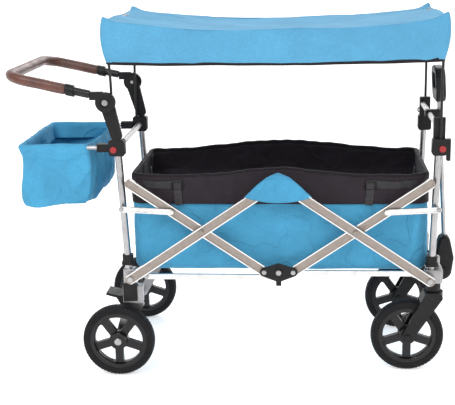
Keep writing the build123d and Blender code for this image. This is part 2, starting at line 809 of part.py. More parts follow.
grip_plane = Plane(
    origin=pull_axis.origin,
    x_dir=(0, 1, 0),
    z_dir=pull_axis.x_dir.cross(pull_axis.z_dir),
)
with BuildPart() as pull_grip:
    with BuildSketch(grip_plane):
        with Locations((0, pull_run + 2)):
            RectangleRounded(128, 106, 34)
        with Locations((0, pull_run + 10)):
            RectangleRounded(88, 48, 20, mode=Mode.SUBTRACT)
    extrude(amount=15, both=True)
    fillet(pull_grip.edges().filter_by(GeomType.LINE, reverse=True), 6)
    with BuildSketch(pull_axis):
        Circle(pull_radius)
    extrude(amount=tube_in_grip, mode=Mode.SUBTRACT)
save(pull_grip, "pull_grip")

with BuildPart() as pull_boot:
    with BuildSketch(Plane.XZ):
        with Locations((pull_pivot_x, pull_pivot_height)):
            Circle(32)
        with Locations((x_front + 71, 306)):
            Circle(28)
        with Locations((x_front + 68, 360)):
            Circle(19)
        make_hull()
    extrude(amount=26, both=True)
    fillet(pull_boot.edges().filter_by(GeomType.LINE, reverse=True), 9)
    with BuildSketch(pull_axis):
        Circle(pull_radius)
    extrude(amount=200, mode=Mode.SUBTRACT)
    with Locations((pull_pivot_x, 0, pull_pivot_height)):
        Cylinder(6 + running, 60, rotation=(90, 0, 0), mode=Mode.SUBTRACT)
save(pull_boot, "pull_boot")

with BuildPart() as tow_bracket:
    with BuildSketch(Plane.XZ.offset(29)):
        with Locations((lower_cross_x, 305)):
            Circle(18)
        with Locations((pull_pivot_x, pull_pivot_height)):
            Circle(14)
        make_hull()
    extrude(amount=6)
    mirror(about=Plane.XZ)
    with Locations((lower_cross_x, 0, 305)):
        Cylinder(15, 62, rotation=(90, 0, 0))
        Cylinder(10, 90, rotation=(90, 0, 0), mode=Mode.SUBTRACT)
    with Locations((pull_pivot_x, 0, pull_pivot_height)):
        Cylinder(6 + running, 90, rotation=(90, 0, 0), mode=Mode.SUBTRACT)
        Cylinder(6, 78, rotation=(90, 0, 0))
    for side in (-1, 1):
        with Locations((pull_pivot_x, side * (37 + running), pull_pivot_height)):
            Cylinder(10, 4, rotation=(90, 0, 0))
save(tow_bracket, "tow_bracket")

with BuildPart() as pull_clip:
    with BuildSketch(Plane.XZ.offset(-13)):
        with Locations((x_front + 25, cross_height)):
            RectangleRounded(54, 26, 8)
        with Locations((cross_x, cross_height)):
            Circle(8, mode=Mode.SUBTRACT)
    extrude(amount=26)
    with Locations((x_front + 45, 0, cross_height)):
        Box(21, 14.6, 40, mode=Mode.SUBTRACT)
save(pull_clip, "pull_clip")

# ---------------------------------------------------------------- storage bag
bag_half = 190.0
bag_wall = 4.0
bag_frame_back = x_rear - 330


def bag_profile(inset, top):
    """The bag seen from the side, moved in by inset and cut off at top."""
    with BuildSketch(Plane.XZ.offset(bag_half - inset)) as profile:
        with BuildLine():
            Polyline(
                (x_rear - 321 + inset, top),
                (x_rear - 338 + inset, 540),
                (x_rear - 322 + inset, 517 + inset),
                (x_rear - 142 - inset / 2, 520 + inset),
                (x_rear - 122 - inset, 536 + inset),
                (x_rear - 116 - inset, 620),
                (x_rear - 124 - inset, top),
                (x_rear - 321 + inset, top),
            )
        make_face()
    return profile.sketch


with BuildPart() as bag_pouch:
    extrude(bag_profile(0, 708), amount=-2 * bag_half)
    fillet(bag_pouch.edges().group_by(Axis.X)[0], 12)
    extrude(bag_profile(bag_wall, 712), amount=-2 * (bag_half - bag_wall), mode=Mode.SUBTRACT)
    block(x_rear - 250, x_rear - 180, bag_half + running, bag_tube_y + 9, 692, 712)
    with Locations((x_rear - 215, -bag_tube_y, bag_frame_height)):
        Cylinder(bag_tube_radius + running, 80, rotation=(0, 90, 0), mode=Mode.SUBTRACT)
    mirror(about=Plane.XZ)
save(bag_pouch, "bag_pouch")

with BuildPart() as bag_frame:
    with BuildLine() as line:
        FilletPolyline(
            (connector_end - 4, -bag_tube_y, bag_frame_height),
            (bag_frame_back, -bag_tube_y, bag_frame_height),
            (bag_frame_back, 0, bag_frame_height),
            radius=16,
        )
    with BuildSketch(Plane(origin=line.line @ 0, z_dir=(-1, 0, 0))):
        Circle(bag_tube_radius)
    sweep()
    mirror(about=Plane.XZ)
save(bag_frame, "bag_frame")

# ---------------------------------------------------------------- basket
shell_wall = 3.0
liner_wall = 4.0
basket_rear_x = x_rear + basket_clear
basket_front_x = x_front - basket_clear
tub_corner = 30.0


def tub(inset, low, high, mode=Mode.ADD):
    """A basket-sized block with rounded upright corners and lower edges, moved in by inset."""
    length = basket_front_x - basket_rear_x - 2 * inset
    with BuildSketch(Plane.XY.offset(low)) as foot:
        with Locations((x_mid, 0)):
            RectangleRounded(length, 2 * (basket_half - inset), tub_corner - inset)
    extrude(foot.sketch, amount=high - low, mode=mode)


def tub_block(inset, low, high, edge):
    """A tub with its lower edges rounded."""
    with BuildPart() as block_of_tub:
        tub(inset, low, high)
        fillet(block_of_tub.edges().group_by(Axis.Z)[0], edge)
    return block_of_tub.part


shell_edge = 22.0
liner_gap = 0.5
liner_inset = shell_wall + liner_gap
inner_inset = liner_inset + liner_wall
mat_low = basket_floor + inner_inset + 0.5
mat_high = mat_low + 18
with BuildPart() as basket_shell:
    add(tub_block(0, basket_floor, basket_rim, shell_edge))
    add(
        tub_block(shell_wall, basket_floor + shell_wall, basket_rim + 1, shell_edge - shell_wall),
        mode=Mode.SUBTRACT,
    )
save(basket_shell, "basket_shell")

with BuildPart() as basket_liner:
    add(tub_block(liner_inset, basket_floor + liner_inset, basket_rim, shell_edge - liner_inset))
    add(
        tub_block(inner_inset, basket_floor + inner_inset, basket_rim + 1, shell_edge - inner_inset),
        mode=Mode.SUBTRACT,
    )
save(basket_liner, "basket_liner")

with BuildPart() as basket_trim:
    tub(-2, band_low, basket_rim)
    tub(0, band_low - 1, basket_rim + 1, Mode.SUBTRACT)
    tub(-2.5, basket_rim + running, basket_rim + 8)
    tub(8.5, basket_rim, basket_rim + 9, Mode.SUBTRACT)
save(basket_trim, "basket_trim")

with BuildPart() as floor_mat:
    tub(24, mat_low, mat_high)
    fillet(floor_mat.edges().group_by(Axis.Z)[-1], 7)
save(floor_mat, "floor_mat")

harness_high = 585.0
lap_height = 415.0
buckle_size = (13, 52, 44)
strap_half = 70.0
strap_width = 25.0


def seat_straps(end):
    """Two straps down the end wall, a lap strap and a crotch strap lying on it, and a buckle."""
    wall = basket_clear + inner_inset
    strap_low = mat_high + 30
    for side in (-1, 1):
        with Locations((to_x(end, wall + 2), side * strap_half, (strap_low + harness_high) / 2)):
            Box(3, strap_width, harness_high - strap_low)
    with Locations((to_x(end, wall + 5.5), 0, lap_height)):
        Box(3, 2 * strap_half + 150, strap_width)
    with Locations((to_x(end, wall + 5.5), 0, (strap_low + lap_height) / 2)):
        Box(3, strap_width, lap_height - strap_low)
    with Locations((to_x(end, wall + 10), 0, lap_height)):
        Box(*buckle_size)


with BuildPart() as seat_harnesses:
    for harness_end in ENDS:
        seat_straps(harness_end)
save(seat_harnesses, "seat_harnesses")

# ---------------------------------------------------------------- side flaps over the top brackets
flap_low = 554.0
flap_peak = 640.0
flap_half = 101.0
with BuildPart() as side_flaps:
    with BuildSketch(Plane.YZ.offset(x_mid - flap_half)):
        with BuildLine():
            Polyline(
                (-203, 622),
                (-240, 628),
                (-267, 611),
                (-269, flap_low),
                (-272, flap_low),
                (-270, 613),
                (-241, 632),
                (-203, 626),
                (-203, 622),
            )
        make_face()
    extrude(amount=2 * flap_half)
    with BuildSketch(Plane.XZ.offset(190)):
        with BuildLine():
            Polyline(
                (x_mid - flap_half, flap_low),
                (x_mid - 24, flap_peak),
                (x_mid + 24, flap_peak),
                (x_mid + flap_half, flap_low),
                (x_mid - flap_half, flap_low),
            )
        make_face()
    extrude(amount=100, mode=Mode.INTERSECT)
    mirror(about=Plane.XZ)
save(side_flaps, "side_flaps")
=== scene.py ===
"""A folding pull wagon for children: its soft goods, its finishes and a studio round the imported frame."""

import json
import math

import bmesh
import bpy
import numpy as np
from mathutils import Matrix, Vector


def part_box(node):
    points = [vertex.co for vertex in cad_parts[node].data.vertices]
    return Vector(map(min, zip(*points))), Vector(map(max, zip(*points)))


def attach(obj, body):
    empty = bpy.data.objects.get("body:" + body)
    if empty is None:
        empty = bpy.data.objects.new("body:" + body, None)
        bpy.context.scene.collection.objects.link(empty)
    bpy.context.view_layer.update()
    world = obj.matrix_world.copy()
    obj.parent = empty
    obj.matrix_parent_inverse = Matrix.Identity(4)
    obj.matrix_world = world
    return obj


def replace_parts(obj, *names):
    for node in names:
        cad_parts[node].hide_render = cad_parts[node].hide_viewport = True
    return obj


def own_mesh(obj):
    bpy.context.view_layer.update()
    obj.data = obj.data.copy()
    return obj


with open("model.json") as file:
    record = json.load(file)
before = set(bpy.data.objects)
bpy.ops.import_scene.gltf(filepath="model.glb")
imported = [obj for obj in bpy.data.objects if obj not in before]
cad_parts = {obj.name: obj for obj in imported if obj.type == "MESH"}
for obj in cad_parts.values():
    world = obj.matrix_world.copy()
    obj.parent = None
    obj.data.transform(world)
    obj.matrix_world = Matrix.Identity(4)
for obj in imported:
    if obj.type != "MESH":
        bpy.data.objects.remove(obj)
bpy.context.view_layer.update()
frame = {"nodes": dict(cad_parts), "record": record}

bl_info = {
    "name": "Folding pull wagon",
    "version": (1, 0, 0),
    "blender": (4, 5, 0),
    "location": "View3D > Sidebar > Wagon",
    "description": "Soft goods, finishes and studio for a folding pull wagon",
    "category": "Object",
}

ENDS = (-1, 1)
BASE_LOW, BASE_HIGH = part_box("basket_shell")
REAR_X = BASE_LOW.x
FRONT_X = BASE_HIGH.x
MID_X = (REAR_X + FRONT_X) / 2
POST_X = REAR_X - 0.006
FOLD_KEEP = 0.31
CANOPY_KEEP = 0.38
GRIP_RISE = 53.5 / 246
BRACKET_HALF = 0.0435
SHELL_FOLDS, LINING_FOLDS, LOOSE_FOLDS = 1.7, 1.6, 1.5


# ------------------------------------------------------------------ meshes
def points_of(mesh):
    """The points of a mesh as an array of rows of three."""
    place = np.zeros(len(mesh.vertices) * 3)
    mesh.vertices.foreach_get("co", place)
    return place.reshape(-1, 3)


def weld(piece, distance):
    """Joins the points of a mesh that lie within the distance and turns its faces outwards."""
    shape = bmesh.new()
    shape.from_mesh(piece.data)
    bmesh.ops.remove_doubles(shape, verts=shape.verts, dist=distance)
    bmesh.ops.recalc_face_normals(shape, faces=shape.faces)
    shape.to_mesh(piece.data)
    shape.free()
    return piece


# ------------------------------------------------------------------ surfaces
def face_outwards(points, faces, centre):
    """Turns the faces round when, added up over their areas, they look towards the centre, which
    is one point or one for each face."""
    corner = points[faces]
    normal = np.cross(corner[:, 2] - corner[:, 0], corner[:, 3] - corner[:, 1])
    outward = ((corner.mean(1) - np.asarray(centre)) * normal).sum()
    return faces if outward > 0 else faces[:, ::-1]


def mesh_of(name, points, faces, material, caps=()):
    """A smooth mesh object of an array of points and an array of four-cornered faces."""
    mesh = bpy.data.meshes.new(name)
    mesh.from_pydata(points.reshape(-1, 3).tolist(), [], faces.tolist() + [list(c) for c in caps])
    mesh.polygons.foreach_set("use_smooth", np.ones(len(mesh.polygons), bool))
    mesh.materials.append(material)
    mesh.update()
    piece = bpy.data.objects.new(name, mesh)
    bpy.context.scene.collection.objects.link(piece)
    return piece


def grid_faces(rows, columns, closed_rows=False, closed_columns=False):
    """The faces between neighbouring points of a grid, joined end to start where it is closed."""
    i, j = np.meshgrid(
        np.arange(rows if closed_rows else rows - 1),
        np.arange(columns if closed_columns else columns - 1),
        indexing="ij",
    )
    below, beside = (i + 1) % rows, (j + 1) % columns
    corners = [i * columns + j, below * columns + j, below * columns + beside, i * columns + beside]
    return np.stack(corners, -1).reshape(-1, 4)


def even(count, margin):
    """Even places from -1 to 1, with one more pair a margin inside the two ends."""
    return np.concatenate([[-1], np.linspace(-1 + margin, 1 - margin, count - 2), [1]])


def net(across, along, rows):
    """A tray's net: a square grid for its flat, and rows of its edge for the wall.

    Gives for each point its direction on the edge of a square, and a step that runs from 0 in
    the middle to 1 at the edge of the flat and on to 2 at the end of the wall, then the faces
    and the indices of the last row."""
    nx, ny = len(across), len(along)
    u, v = np.meshgrid(across, along, indexing="ij")
    reach = np.maximum(np.abs(u), np.abs(v))
    flat = np.stack([u, v], -1) / np.maximum(reach, 1e-9)[..., None]
    index = np.arange(nx * ny).reshape(nx, ny)
    ring = np.concatenate([index[:, 0], index[-1, 1:], index[-2::-1, -1], index[0, -2:0:-1]])
    count = len(ring)
    flat = flat.reshape(-1, 2)
    way = np.concatenate([flat] + [flat[ring]] * len(rows))
    step = np.concatenate([reach.ravel(), np.repeat(1 + np.asarray(rows), count)])
    levels = np.concatenate([[ring], nx * ny + np.arange(len(rows) * count).reshape(-1, count)])
    following = np.roll(levels, -1, axis=1)
    walls = np.stack([levels[:-1], levels[1:], following[1:], following[:-1]], -1).reshape(-1, 4)
    return way, step, np.concatenate([grid_faces(nx, ny), walls]), levels[-1]


def rounded(way, half_x, half_y, corner):
    """Square edge points moved to a rectangle with round corners: past the corner's centre, the
    offset from that centre is cut to the corner's radius."""
    place = way * np.stack([half_x + 0 * way[:, 0], half_y + 0 * way[:, 1]], -1)
    limit = np.stack([half_x - corner + 0 * way[:, 0], half_y - corner + 0 * way[:, 1]], -1)
    core = np.clip(place, -limit, limit)
    out = place - core
    far = np.maximum(np.linalg.norm(out, axis=1, keepdims=True), 1e-9)
    return core + out / far * np.minimum(far, np.reshape(corner + 0 * way[:, 0], (-1, 1)))


def rounded_path(points, radii, steps=10):
    """A line of straight runs joined by arcs: each arc leaves its run at the radius times the
    tangent of half the turn from the corner and swings through the turn."""
    points = [np.array(p, float) for p in points]
    line = [points[0]]
    for before, corner, after, radius in zip(points, points[1:], points[2:], radii):
        a = (before - corner) / np.linalg.norm(before - corner)
        b = (after - corner) / np.linalg.norm(after - corner)
        half = math.acos(np.clip(a @ b, -1, 1)) / 2
        middle = corner + (a + b) / np.linalg.norm(a + b) * radius / math.sin(half)
        start = corner + a * radius / math.tan(half) - middle
        end = corner + b * radius / math.tan(half) - middle
        turn = math.pi - 2 * half
        share = np.linspace(0, 1, steps + 1)[:, None]
        arc = (np.sin((1 - share) * turn) * start + np.sin(share * turn) * end) / math.sin(turn)
        line.extend(middle + arc)
    line.append(points[-1])
    return np.array(line)


def resample(line, step, closed=False):
    """The same line with points an even distance apart."""
    if closed:
        line = np.concatenate([line, line[:1]])
    run = np.concatenate([[0], np.cumsum(np.linalg.norm(np.diff(line, axis=0), axis=1))])
    count = max(int(round(run[-1] / step)), 3)
    at = np.linspace(0, run[-1], count + 1)
    even_line = np.stack([np.interp(at, run, line[:, k]) for k in range(3)], -1)
    return even_line[:-1] if closed else even_line


def frames(line, closed, up=(0, 0, 1)):
    """For each point of a line: which way it runs, its side, and its upper side."""
    if closed:
        run = np.roll(line, -1, 0) - np.roll(line, 1, 0)
    else:
        run = np.gradient(line, axis=0)
    run /= np.linalg.norm(run, axis=1, keepdims=True)
    side = np.cross(run, np.asarray(up, float))
    side /= np.maximum(np.linalg.norm(side, axis=1, keepdims=True), 1e-9)
    return run, side, np.cross(side, run)


def carried(name, line, profile, material, closed=False, up=(0, 0, 1)):
    """A closed profile carried along a line: line point + profile's first number along the side
    + its second along the upper side. profile is one loop, or one loop for each point."""
    run, side, top = frames(line, closed, up)
    profile = np.broadcast_to(profile, (len(line),) + np.shape(profile)[-2:])
    points = line[:, None] + side[:, None] * profile[..., :1] + top[:, None] * profile[..., 1:]
    rows, columns = points.shape[:2]
    faces = grid_faces(rows, columns, closed, True)
    caps = ()
    across, upward = profile[0, :, 0], profile[0, :, 1]
    turns_left = (across * np.roll(upward, -1) - upward * np.roll(across, -1)).sum() > 0
    if turns_left:
        faces = faces[:, ::-1]
    if not closed:
        first, last = np.arange(columns), (rows - 1) * columns + np.arange(columns)
        caps = (first[::-1], last) if turns_left else (first, last[::-1])
    return mesh_of(name, points, faces, material, caps)


def oval(width, height, count=12, power=1.0):
    """A closed loop: cosine by half the width and sine by half the height, squared off as the
    power falls below 1."""
    turn = np.linspace(0, 2 * math.pi, count, endpoint=False)
    c, s = np.cos(turn), np.sin(turn)
    return np.stack(
        [np.sign(c) * np.abs(c) ** power * width / 2, np.sign(s) * np.abs(s) ** power * height / 2], -1
    )


def stitches(name, line, outward, material, pitch, length=0.0031, width=0.0009, closed=False, slant=0.0):
    """Small beads along a line: each is an ellipsoid, stretched along the line by its length and
    sunk halfway into the cloth, every pitch."""
    spots = resample(line, pitch, closed)
    run, side, top = frames(spots, closed, outward)
    run = run + side * slant
    sides, along = 6, np.array([-1, -0.72, 0, 0.72, 1])
    around = np.linspace(0, 2 * math.pi, sides, endpoint=False)
    girth = np.sqrt(np.clip(1 - along**2, 0.02, 1))
    bead_x = np.repeat(along, sides) * length / 2
    bead_y = (girth[:, None] * np.cos(around)).ravel() * width / 2
    bead_z = (girth[:, None] * np.sin(around)).ravel() * width / 2
    points = (
        spots[:, None]
        + run[:, None] * bead_x[:, None]
        + side[:, None] * bead_y[:, None]
        + top[:, None] * bead_z[:, None]
    )
    bead = grid_faces(len(along), sides, False, True)
    firsts = sides * len(along) * np.arange(len(spots))
    faces = (bead[None] + firsts[:, None, None]).reshape(-1, 4)
    flip = face_outwards(points[0], bead, points[0].mean(0)) is not bead
    if flip:
        faces = faces[:, ::-1]
    near = [first + np.arange(sides) for first in firsts]
    far = [first + sides * (len(along) - 1) + np.arange(sides) for first in firsts]
    caps = [c[::-1] if flip else c for c in near] + [c if flip else c[::-1] for c in far]
    return mesh_of(name, points, faces, material, caps)


# ------------------------------------------------------------------ folds in cloth
def crease(points, start, end, width, depth):
    """A ridge along a straight line: depth by the bell curve of the distance to the line over
    its width, fading in and out at the two ends."""
    start, end = np.asarray(start, float), np.asarray(end, float)
    line = end - start
    share = np.clip((points - start) @ line / (line @ line), 0, 1)
    away = np.linalg.norm(points - start - share[:, None] * line, axis=1)
    fading = 0.25 + 0.75 * np.sin(math.pi * np.clip(share, 0.04, 0.96))
    return depth * np.exp(-((away / width) ** 2)) * fading


def creases(points, lines):
    """The ridges of several lines together, each a start, an end, a width and a depth."""
    return sum(crease(points, *line) for line in lines)


def rim_lift(x, y, half_y):
    """How far the basket's rim stands above level: a bell curve at mid length on the long sides,
    where the flap's bracket holds it up, wider on the far side, a little at the corners, and
    small waves between."""
    on_long_side = np.clip(np.abs(y) / (0.96 * half_y), 0, 1) ** 12
    away = (x - MID_X) / np.where(y > 0, 0.27, 0.15)
    corner = np.exp(-(((np.abs(x - MID_X) - (FRONT_X - MID_X)) / 0.05) ** 2))
    waves = 0.0008 * np.sin(x * 47) + 0.0005 * np.sin(x * 131 + 1)
    arch = np.where(y > 0, 0.034, 0.022) * np.exp(-(away**2))
    return (arch + waves) * on_long_side + 0.005 * corner


def lumps(points, size, depth, seed, count=7):
    """Soft unevenness: the mean of several sine waves of about one size, in seeded directions."""
    draw = np.random.default_rng(seed)
    ways = draw.normal(size=(count, 3))
    ways /= np.linalg.norm(ways, axis=1, keepdims=True)
    pace = 2 * math.pi / (size * draw.uniform(0.7, 1.5, count))
    shift = draw.uniform(0, 2 * math.pi, count)
    return depth * np.sin(points @ (ways * pace[:, None]).T + shift).mean(1) * 1.6


def press(piece, field):
    """Moves every point of a mesh along its own normal by the amount that the field gives."""
    mesh = piece.data
    place = points_of(mesh)
    normal = np.zeros(place.size)
    mesh.vertex_normals.foreach_get("vector", normal)
    place = place + normal.reshape(-1, 3) * np.reshape(field(place), (-1, 1))
    mesh.vertices.foreach_set("co", place.ravel())
    mesh.update()
    return piece


def thicken(piece, thickness, offset=-1.0):
    """Gives a sheet its cloth thickness."""
    wall = piece.modifiers.new("cloth thickness", "SOLIDIFY")
    wall.thickness = thickness
    wall.offset = offset
    wall.use_even_offset = False
    return piece


def settle(piece, body, fold=None):
    """Hangs a piece on the body it moves with, and gives it a mesh of its own when the fold is given as an
    anchor and a share kept."""
    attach(piece, body)
    if fold:
        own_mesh(piece)
    return piece


# ------------------------------------------------------------------ materials
class Nodes:
    """A new material with short calls for its nodes."""

    def __init__(self, name):
        self.material = bpy.data.materials.new(name)
        self.material.use_nodes = True
        self.tree = self.material.node_tree
        self.shader = next(n for n in self.tree.nodes if n.type == "BSDF_PRINCIPLED")
        self.place = self.tree.nodes.new("ShaderNodeTexCoord").outputs["Object"]

    def add(self, kind, **settings):
        """A new node with its settings."""
        node = self.tree.nodes.new(kind)
        for key, value in settings.items():
            setattr(node, key, value)
        return node

    def link(self, source, target):
        """Joins an output to an input."""
        self.tree.links.new(source, target)

    def noise(self, scale, detail=3.0, roughness=0.55, source=None):
        """Noise at a scale in cells per metre."""
        node = self.add("ShaderNodeTexNoise")
        self.link(source or self.place, node.inputs["Vector"])
        node.inputs["Scale"].default_value = scale
        node.inputs["Detail"].default_value = detail
        node.inputs["Roughness"].default_value = roughness
        return node.outputs["Fac"]

    def wave(self, axis, scale, source=None):
        """Even sine bands across one axis, at a scale in bands per metre."""
        node = self.add("ShaderNodeTexWave", wave_type="BANDS", bands_direction=axis, wave_profile="SIN")
        self.link(source or self.place, node.inputs["Vector"])
        node.inputs["Scale"].default_value = scale * math.pi / 10
        return node.outputs["Fac"]

    def sum(self, first, second, operation="ADD"):
        """Two values put together by the operation."""
        node = self.add("ShaderNodeMath", operation=operation)
        for socket, value in zip(node.inputs, (first, second)):
            if isinstance(value, (int, float)):
                socket.default_value = value
            else:
                self.link(value, socket)
        return node.outputs[0]

    def range(self, value, low, high, to_low, to_high):
        """One range of values carried smoothly to another."""
        node = self.add("ShaderNodeMapRange", interpolation_type="SMOOTHSTEP")
        self.link(value, node.inputs["Value"])
        node.inputs["From Min"].default_value = low
        node.inputs["From Max"].default_value = high
        node.inputs["To Min"].default_value = to_low
        node.inputs["To Max"].default_value = to_high
        return node.outputs["Result"]

    def mix(self, factor, first, second):
        """A colour between two colours, each a colour or another node's output."""
        node = self.add("ShaderNodeMix", data_type="RGBA")
        self.link(factor, node.inputs["Factor"])
        for socket, value in zip((node.inputs[6], node.inputs[7]), (first, second)):
            if isinstance(value, (tuple, list)):
                socket.default_value = (*value[:3], 1)
            else:
                self.link(value, socket)
        return node.outputs[2]

    def bump(self, height, distance, strength=1.0):
        """Relief from a height, laid over the relief that is there already."""
        node = self.add("ShaderNodeBump")
        self.link(height, node.inputs["Height"])
        node.inputs["Distance"].default_value = distance
        node.inputs["Strength"].default_value = strength
        normal = self.shader.inputs["Normal"]
        if normal.is_linked:
            self.link(normal.links[0].from_socket, node.inputs["Normal"])
        self.link(node.outputs[0], normal)

    def colour(self, output):
        """The colour of the surface."""
        self.link(output, self.shader.inputs["Base Color"])

    def roughness(self, output):
        """How rough the surface is."""
        self.link(output, self.shader.inputs["Roughness"])

    def fixed(self, **values):
        """Numbers that are the same all over the surface."""
        for key, value in values.items():
            self.shader.inputs[key.replace("_", " ")].default_value = value


def shade(colour, factor):
    """A colour made lighter or darker."""
    return tuple(min(c * factor, 1.0) for c in colour)


def woven(name, colour, thread=1.1, sheen=0.08, spread=0.14, rough=(0.72, 0.9), wrinkle=0.0012, crumple=1.0):
    """Plain woven cloth: crossing threads, slubs, broad slack, sharp creases and uneven dye.

    thread is the cloth's thread pitch in millimetres; wrinkle is the height of its relief."""
    n = Nodes(name)
    pace = 1000 / thread
    runs = []
    for long_way in range(3):
        stretch = n.add("ShaderNodeMapping")
        n.link(n.place, stretch.inputs["Vector"])
        stretch.inputs["Scale"].default_value = [0.07 if axis == long_way else 1 for axis in range(3)]
        runs.append(n.noise(pace, 1, 0.5, stretch.outputs[0]))
    threads = n.sum(n.sum(runs[0], runs[1]), runs[2])
    slub = n.noise(420, 2)
    dye = n.noise(9, 4)
    fine = n.noise(160, 5, 0.7)
    base = n.mix(n.range(dye, 0.3, 0.7, 0, 1), shade(colour, 1 - spread), shade(colour, 1 + spread * 0.6))
    base = n.mix(n.range(fine, 0.35, 0.75, 0, 0.35), base, shade(colour, 0.72))
    base = n.mix(n.range(threads, 1.25, 1.7, 0.3, 0), base, shade(colour, 0.62))
    n.colour(base)
    n.roughness(n.range(slub, 0.2, 0.8, *rough))
    n.bump(n.noise(24, 5, 0.62), wrinkle, 0.55)
    n.bump(n.noise(7, 3, 0.5), wrinkle * crumple * 6, 0.8)
    fold = n.sum(n.sum(n.noise(11, 1.5, 0.5), 0.5, "SUBTRACT"), 0.0, "ABSOLUTE")
    n.bump(n.range(fold, 0.0, 0.045, 1, 0), wrinkle * crumple, 0.7)
    n.bump(threads, 0.0003, 0.5)
    n.bump(slub, 0.0002, 0.35)
    n.fixed(Sheen_Weight=sheen, Sheen_Roughness=0.45, Specular_IOR_Level=0.24)
    return n.material


def moulded(name, colour, rough=(0.38, 0.56), grain=900, relief=0.00006, coat=0.0):
    """Moulded plastic: a fine spark-eroded grain, faint flow marks and rubbed spots."""
    n = Nodes(name)
    rub = n.noise(38, 6, 0.7)
    n.colour(n.mix(n.range(rub, 0.52, 0.78, 0, 0.6), colour, shade(colour, 1.9)))
    n.roughness(n.range(n.noise(75, 4), 0.3, 0.7, *rough))
    n.bump(n.noise(grain, 2), relief, 0.5)
    n.bump(n.noise(14, 2), 0.0004, 0.12)
    n.fixed(Coat_Weight=coat, Coat_Roughness=0.2, Specular_IOR_Level=0.28)
    return n.material


def metal(name, colour, rough=(0.22, 0.36), brushed=(1, 1, 18), bands=900, relief=0.00002):
    """Satin metal: fine draw lines along the piece, faint stains and small scratches."""
    n = Nodes(name)
    stretch = n.add("ShaderNodeMapping")
    n.link(n.place, stretch.inputs["Vector"])
    stretch.inputs["Scale"].default_value = tuple(1 / b for b in brushed)
    lines = n.noise(bands, 2, 0.5, stretch.outputs[0])
    stain = n.noise(17, 5, 0.65)
    base = n.mix(n.range(stain, 0.35, 0.72, 0, 1), shade(colour, 1.05), shade(colour, 0.84))
    n.colour(n.mix(n.range(lines, 0.4, 0.7, 0, 0.35), base, shade(colour, 0.7)))
    n.roughness(n.range(lines, 0.3, 0.7, *rough))
    n.bump(lines, relief, 0.4)
    n.bump(n.noise(60, 3), 0.0002, 0.06)
    n.fixed(Metallic=1.0)
    return n.material


def bar_metal(name, colour, face_colour, foot, run, half_face):
    """Pressed flat bar: bright rounded edges beside a duller face with fine ribs along the bar, and a thin
    dark line of painted shade where the face steps up to each edge.

    The face is where the distance from the bar's centre line, measured square to its run in the
    side view, is under half the face's width."""
    n = Nodes(name)
    angle = math.atan2(run[1], run[0])
    turn = n.add("ShaderNodeMapping", vector_type="TEXTURE")
    n.link(n.place, turn.inputs["Vector"])
    turn.inputs["Location"].default_value = (foot[0], 0, foot[1])
    turn.inputs["Rotation"].default_value = (0, -angle, 0)
    split = n.add("ShaderNodeSeparateXYZ")
    n.link(turn.outputs[0], split.inputs[0])
    off = n.sum(split.outputs["Z"], 0.0, "ABSOLUTE")
    face = n.range(off, half_face - 0.0012, half_face + 0.0008, 1, 0)
    past_face = n.sum(n.sum(off, half_face, "SUBTRACT"), 0.0, "ABSOLUTE")
    # painted shade: a thin dark band along each border of the face, where the raised edge steps down to it
    step_shade_line = n.range(past_face, 0.0002, 0.0016, 1, 0)
    stretch = n.add("ShaderNodeMapping")
    n.link(turn.outputs[0], stretch.inputs["Vector"])
    stretch.inputs["Scale"].default_value = (0.06, 1, 1)
    lines = n.noise(820, 3, 0.6, stretch.outputs[0])
    ribs = n.wave("Z", 420, turn.outputs[0])
    bright = n.mix(n.range(n.noise(19, 5), 0.35, 0.7, 0, 1), shade(colour, 1.05), shade(colour, 0.86))
    dull = n.mix(n.range(lines, 0.3, 0.75, 0, 1), shade(face_colour, 1.12), shade(face_colour, 0.8))
    base = n.mix(face, bright, dull)
    # the dark line at the face's borders is painted shade of the step, laid over the bar's colours
    n.colour(n.mix(n.sum(step_shade_line, 0.45, "MULTIPLY"), base, shade(face_colour, 0.35)))
    n.roughness(n.range(n.sum(face, n.sum(lines, 0.4, "MULTIPLY")), 0.0, 1.4, 0.2, 0.5))
    n.bump(n.sum(ribs, face, "MULTIPLY"), 0.00012, 0.6)
    n.bump(lines, 0.00003, 0.4)
    n.fixed(Metallic=1.0)
    return n.material


def rubber(name, colour):
    """Matt tyre compound: dusty, finely pitted, with lighter rubbed patches."""
    n = Nodes(name)
    dust = n.noise(26, 6, 0.7)
    n.colour(n.mix(n.range(dust, 0.45, 0.75, 0, 1), colour, shade(colour, 2.0)))
    n.roughness(n.range(dust, 0.3, 0.7, 0.55, 0.8))
    n.bump(n.noise(1300, 3), 0.00008, 0.6)
    n.bump(n.noise(120, 3), 0.0002, 0.2)
    n.fixed(Specular_IOR_Level=0.26)
    return n.material


def hide(name, colour):
    """Tanned leather: cell-like grain, pores, darker creases and a waxed shine."""
    n = Nodes(name)
    cells = n.add("ShaderNodeTexVoronoi", feature="DISTANCE_TO_EDGE")
    n.link(n.place, cells.inputs["Vector"])
    cells.inputs["Scale"].default_value = 620
    grain = n.range(cells.outputs["Distance"], 0.0, 0.16, 0, 1)
    wear = n.noise(21, 5, 0.65)
    base = n.mix(n.range(wear, 0.35, 0.7, 0, 1), shade(colour, 0.62), shade(colour, 1.35))
    n.colour(n.mix(grain, shade(colour, 0.45), base))
    n.roughness(n.range(wear, 0.3, 0.75, 0.48, 0.3))
    n.bump(n.noise(90, 4), 0.0006, 0.3)
    n.bump(grain, 0.00014, 0.6)
    n.fixed(Coat_Weight=0.14, Coat_Roughness=0.22)
    return n.material


def belt_web(name, colour):
    """Belt webbing: close ribs along and across the strap, with a dull shine."""
    n = Nodes(name)
    ribs = n.sum(n.sum(n.wave("X", 520), n.wave("Y", 520)), n.wave("Z", 520))
    n.colour(n.mix(n.range(ribs, 0.4, 2.2, 0, 1), shade(colour, 0.6), shade(colour, 1.7)))
    n.roughness(n.range(n.noise(300, 3), 0.3, 0.7, 0.5, 0.75))
    n.bump(ribs, 0.0003, 0.7)
    n.fixed(Sheen_Weight=0.15)
    return n.material


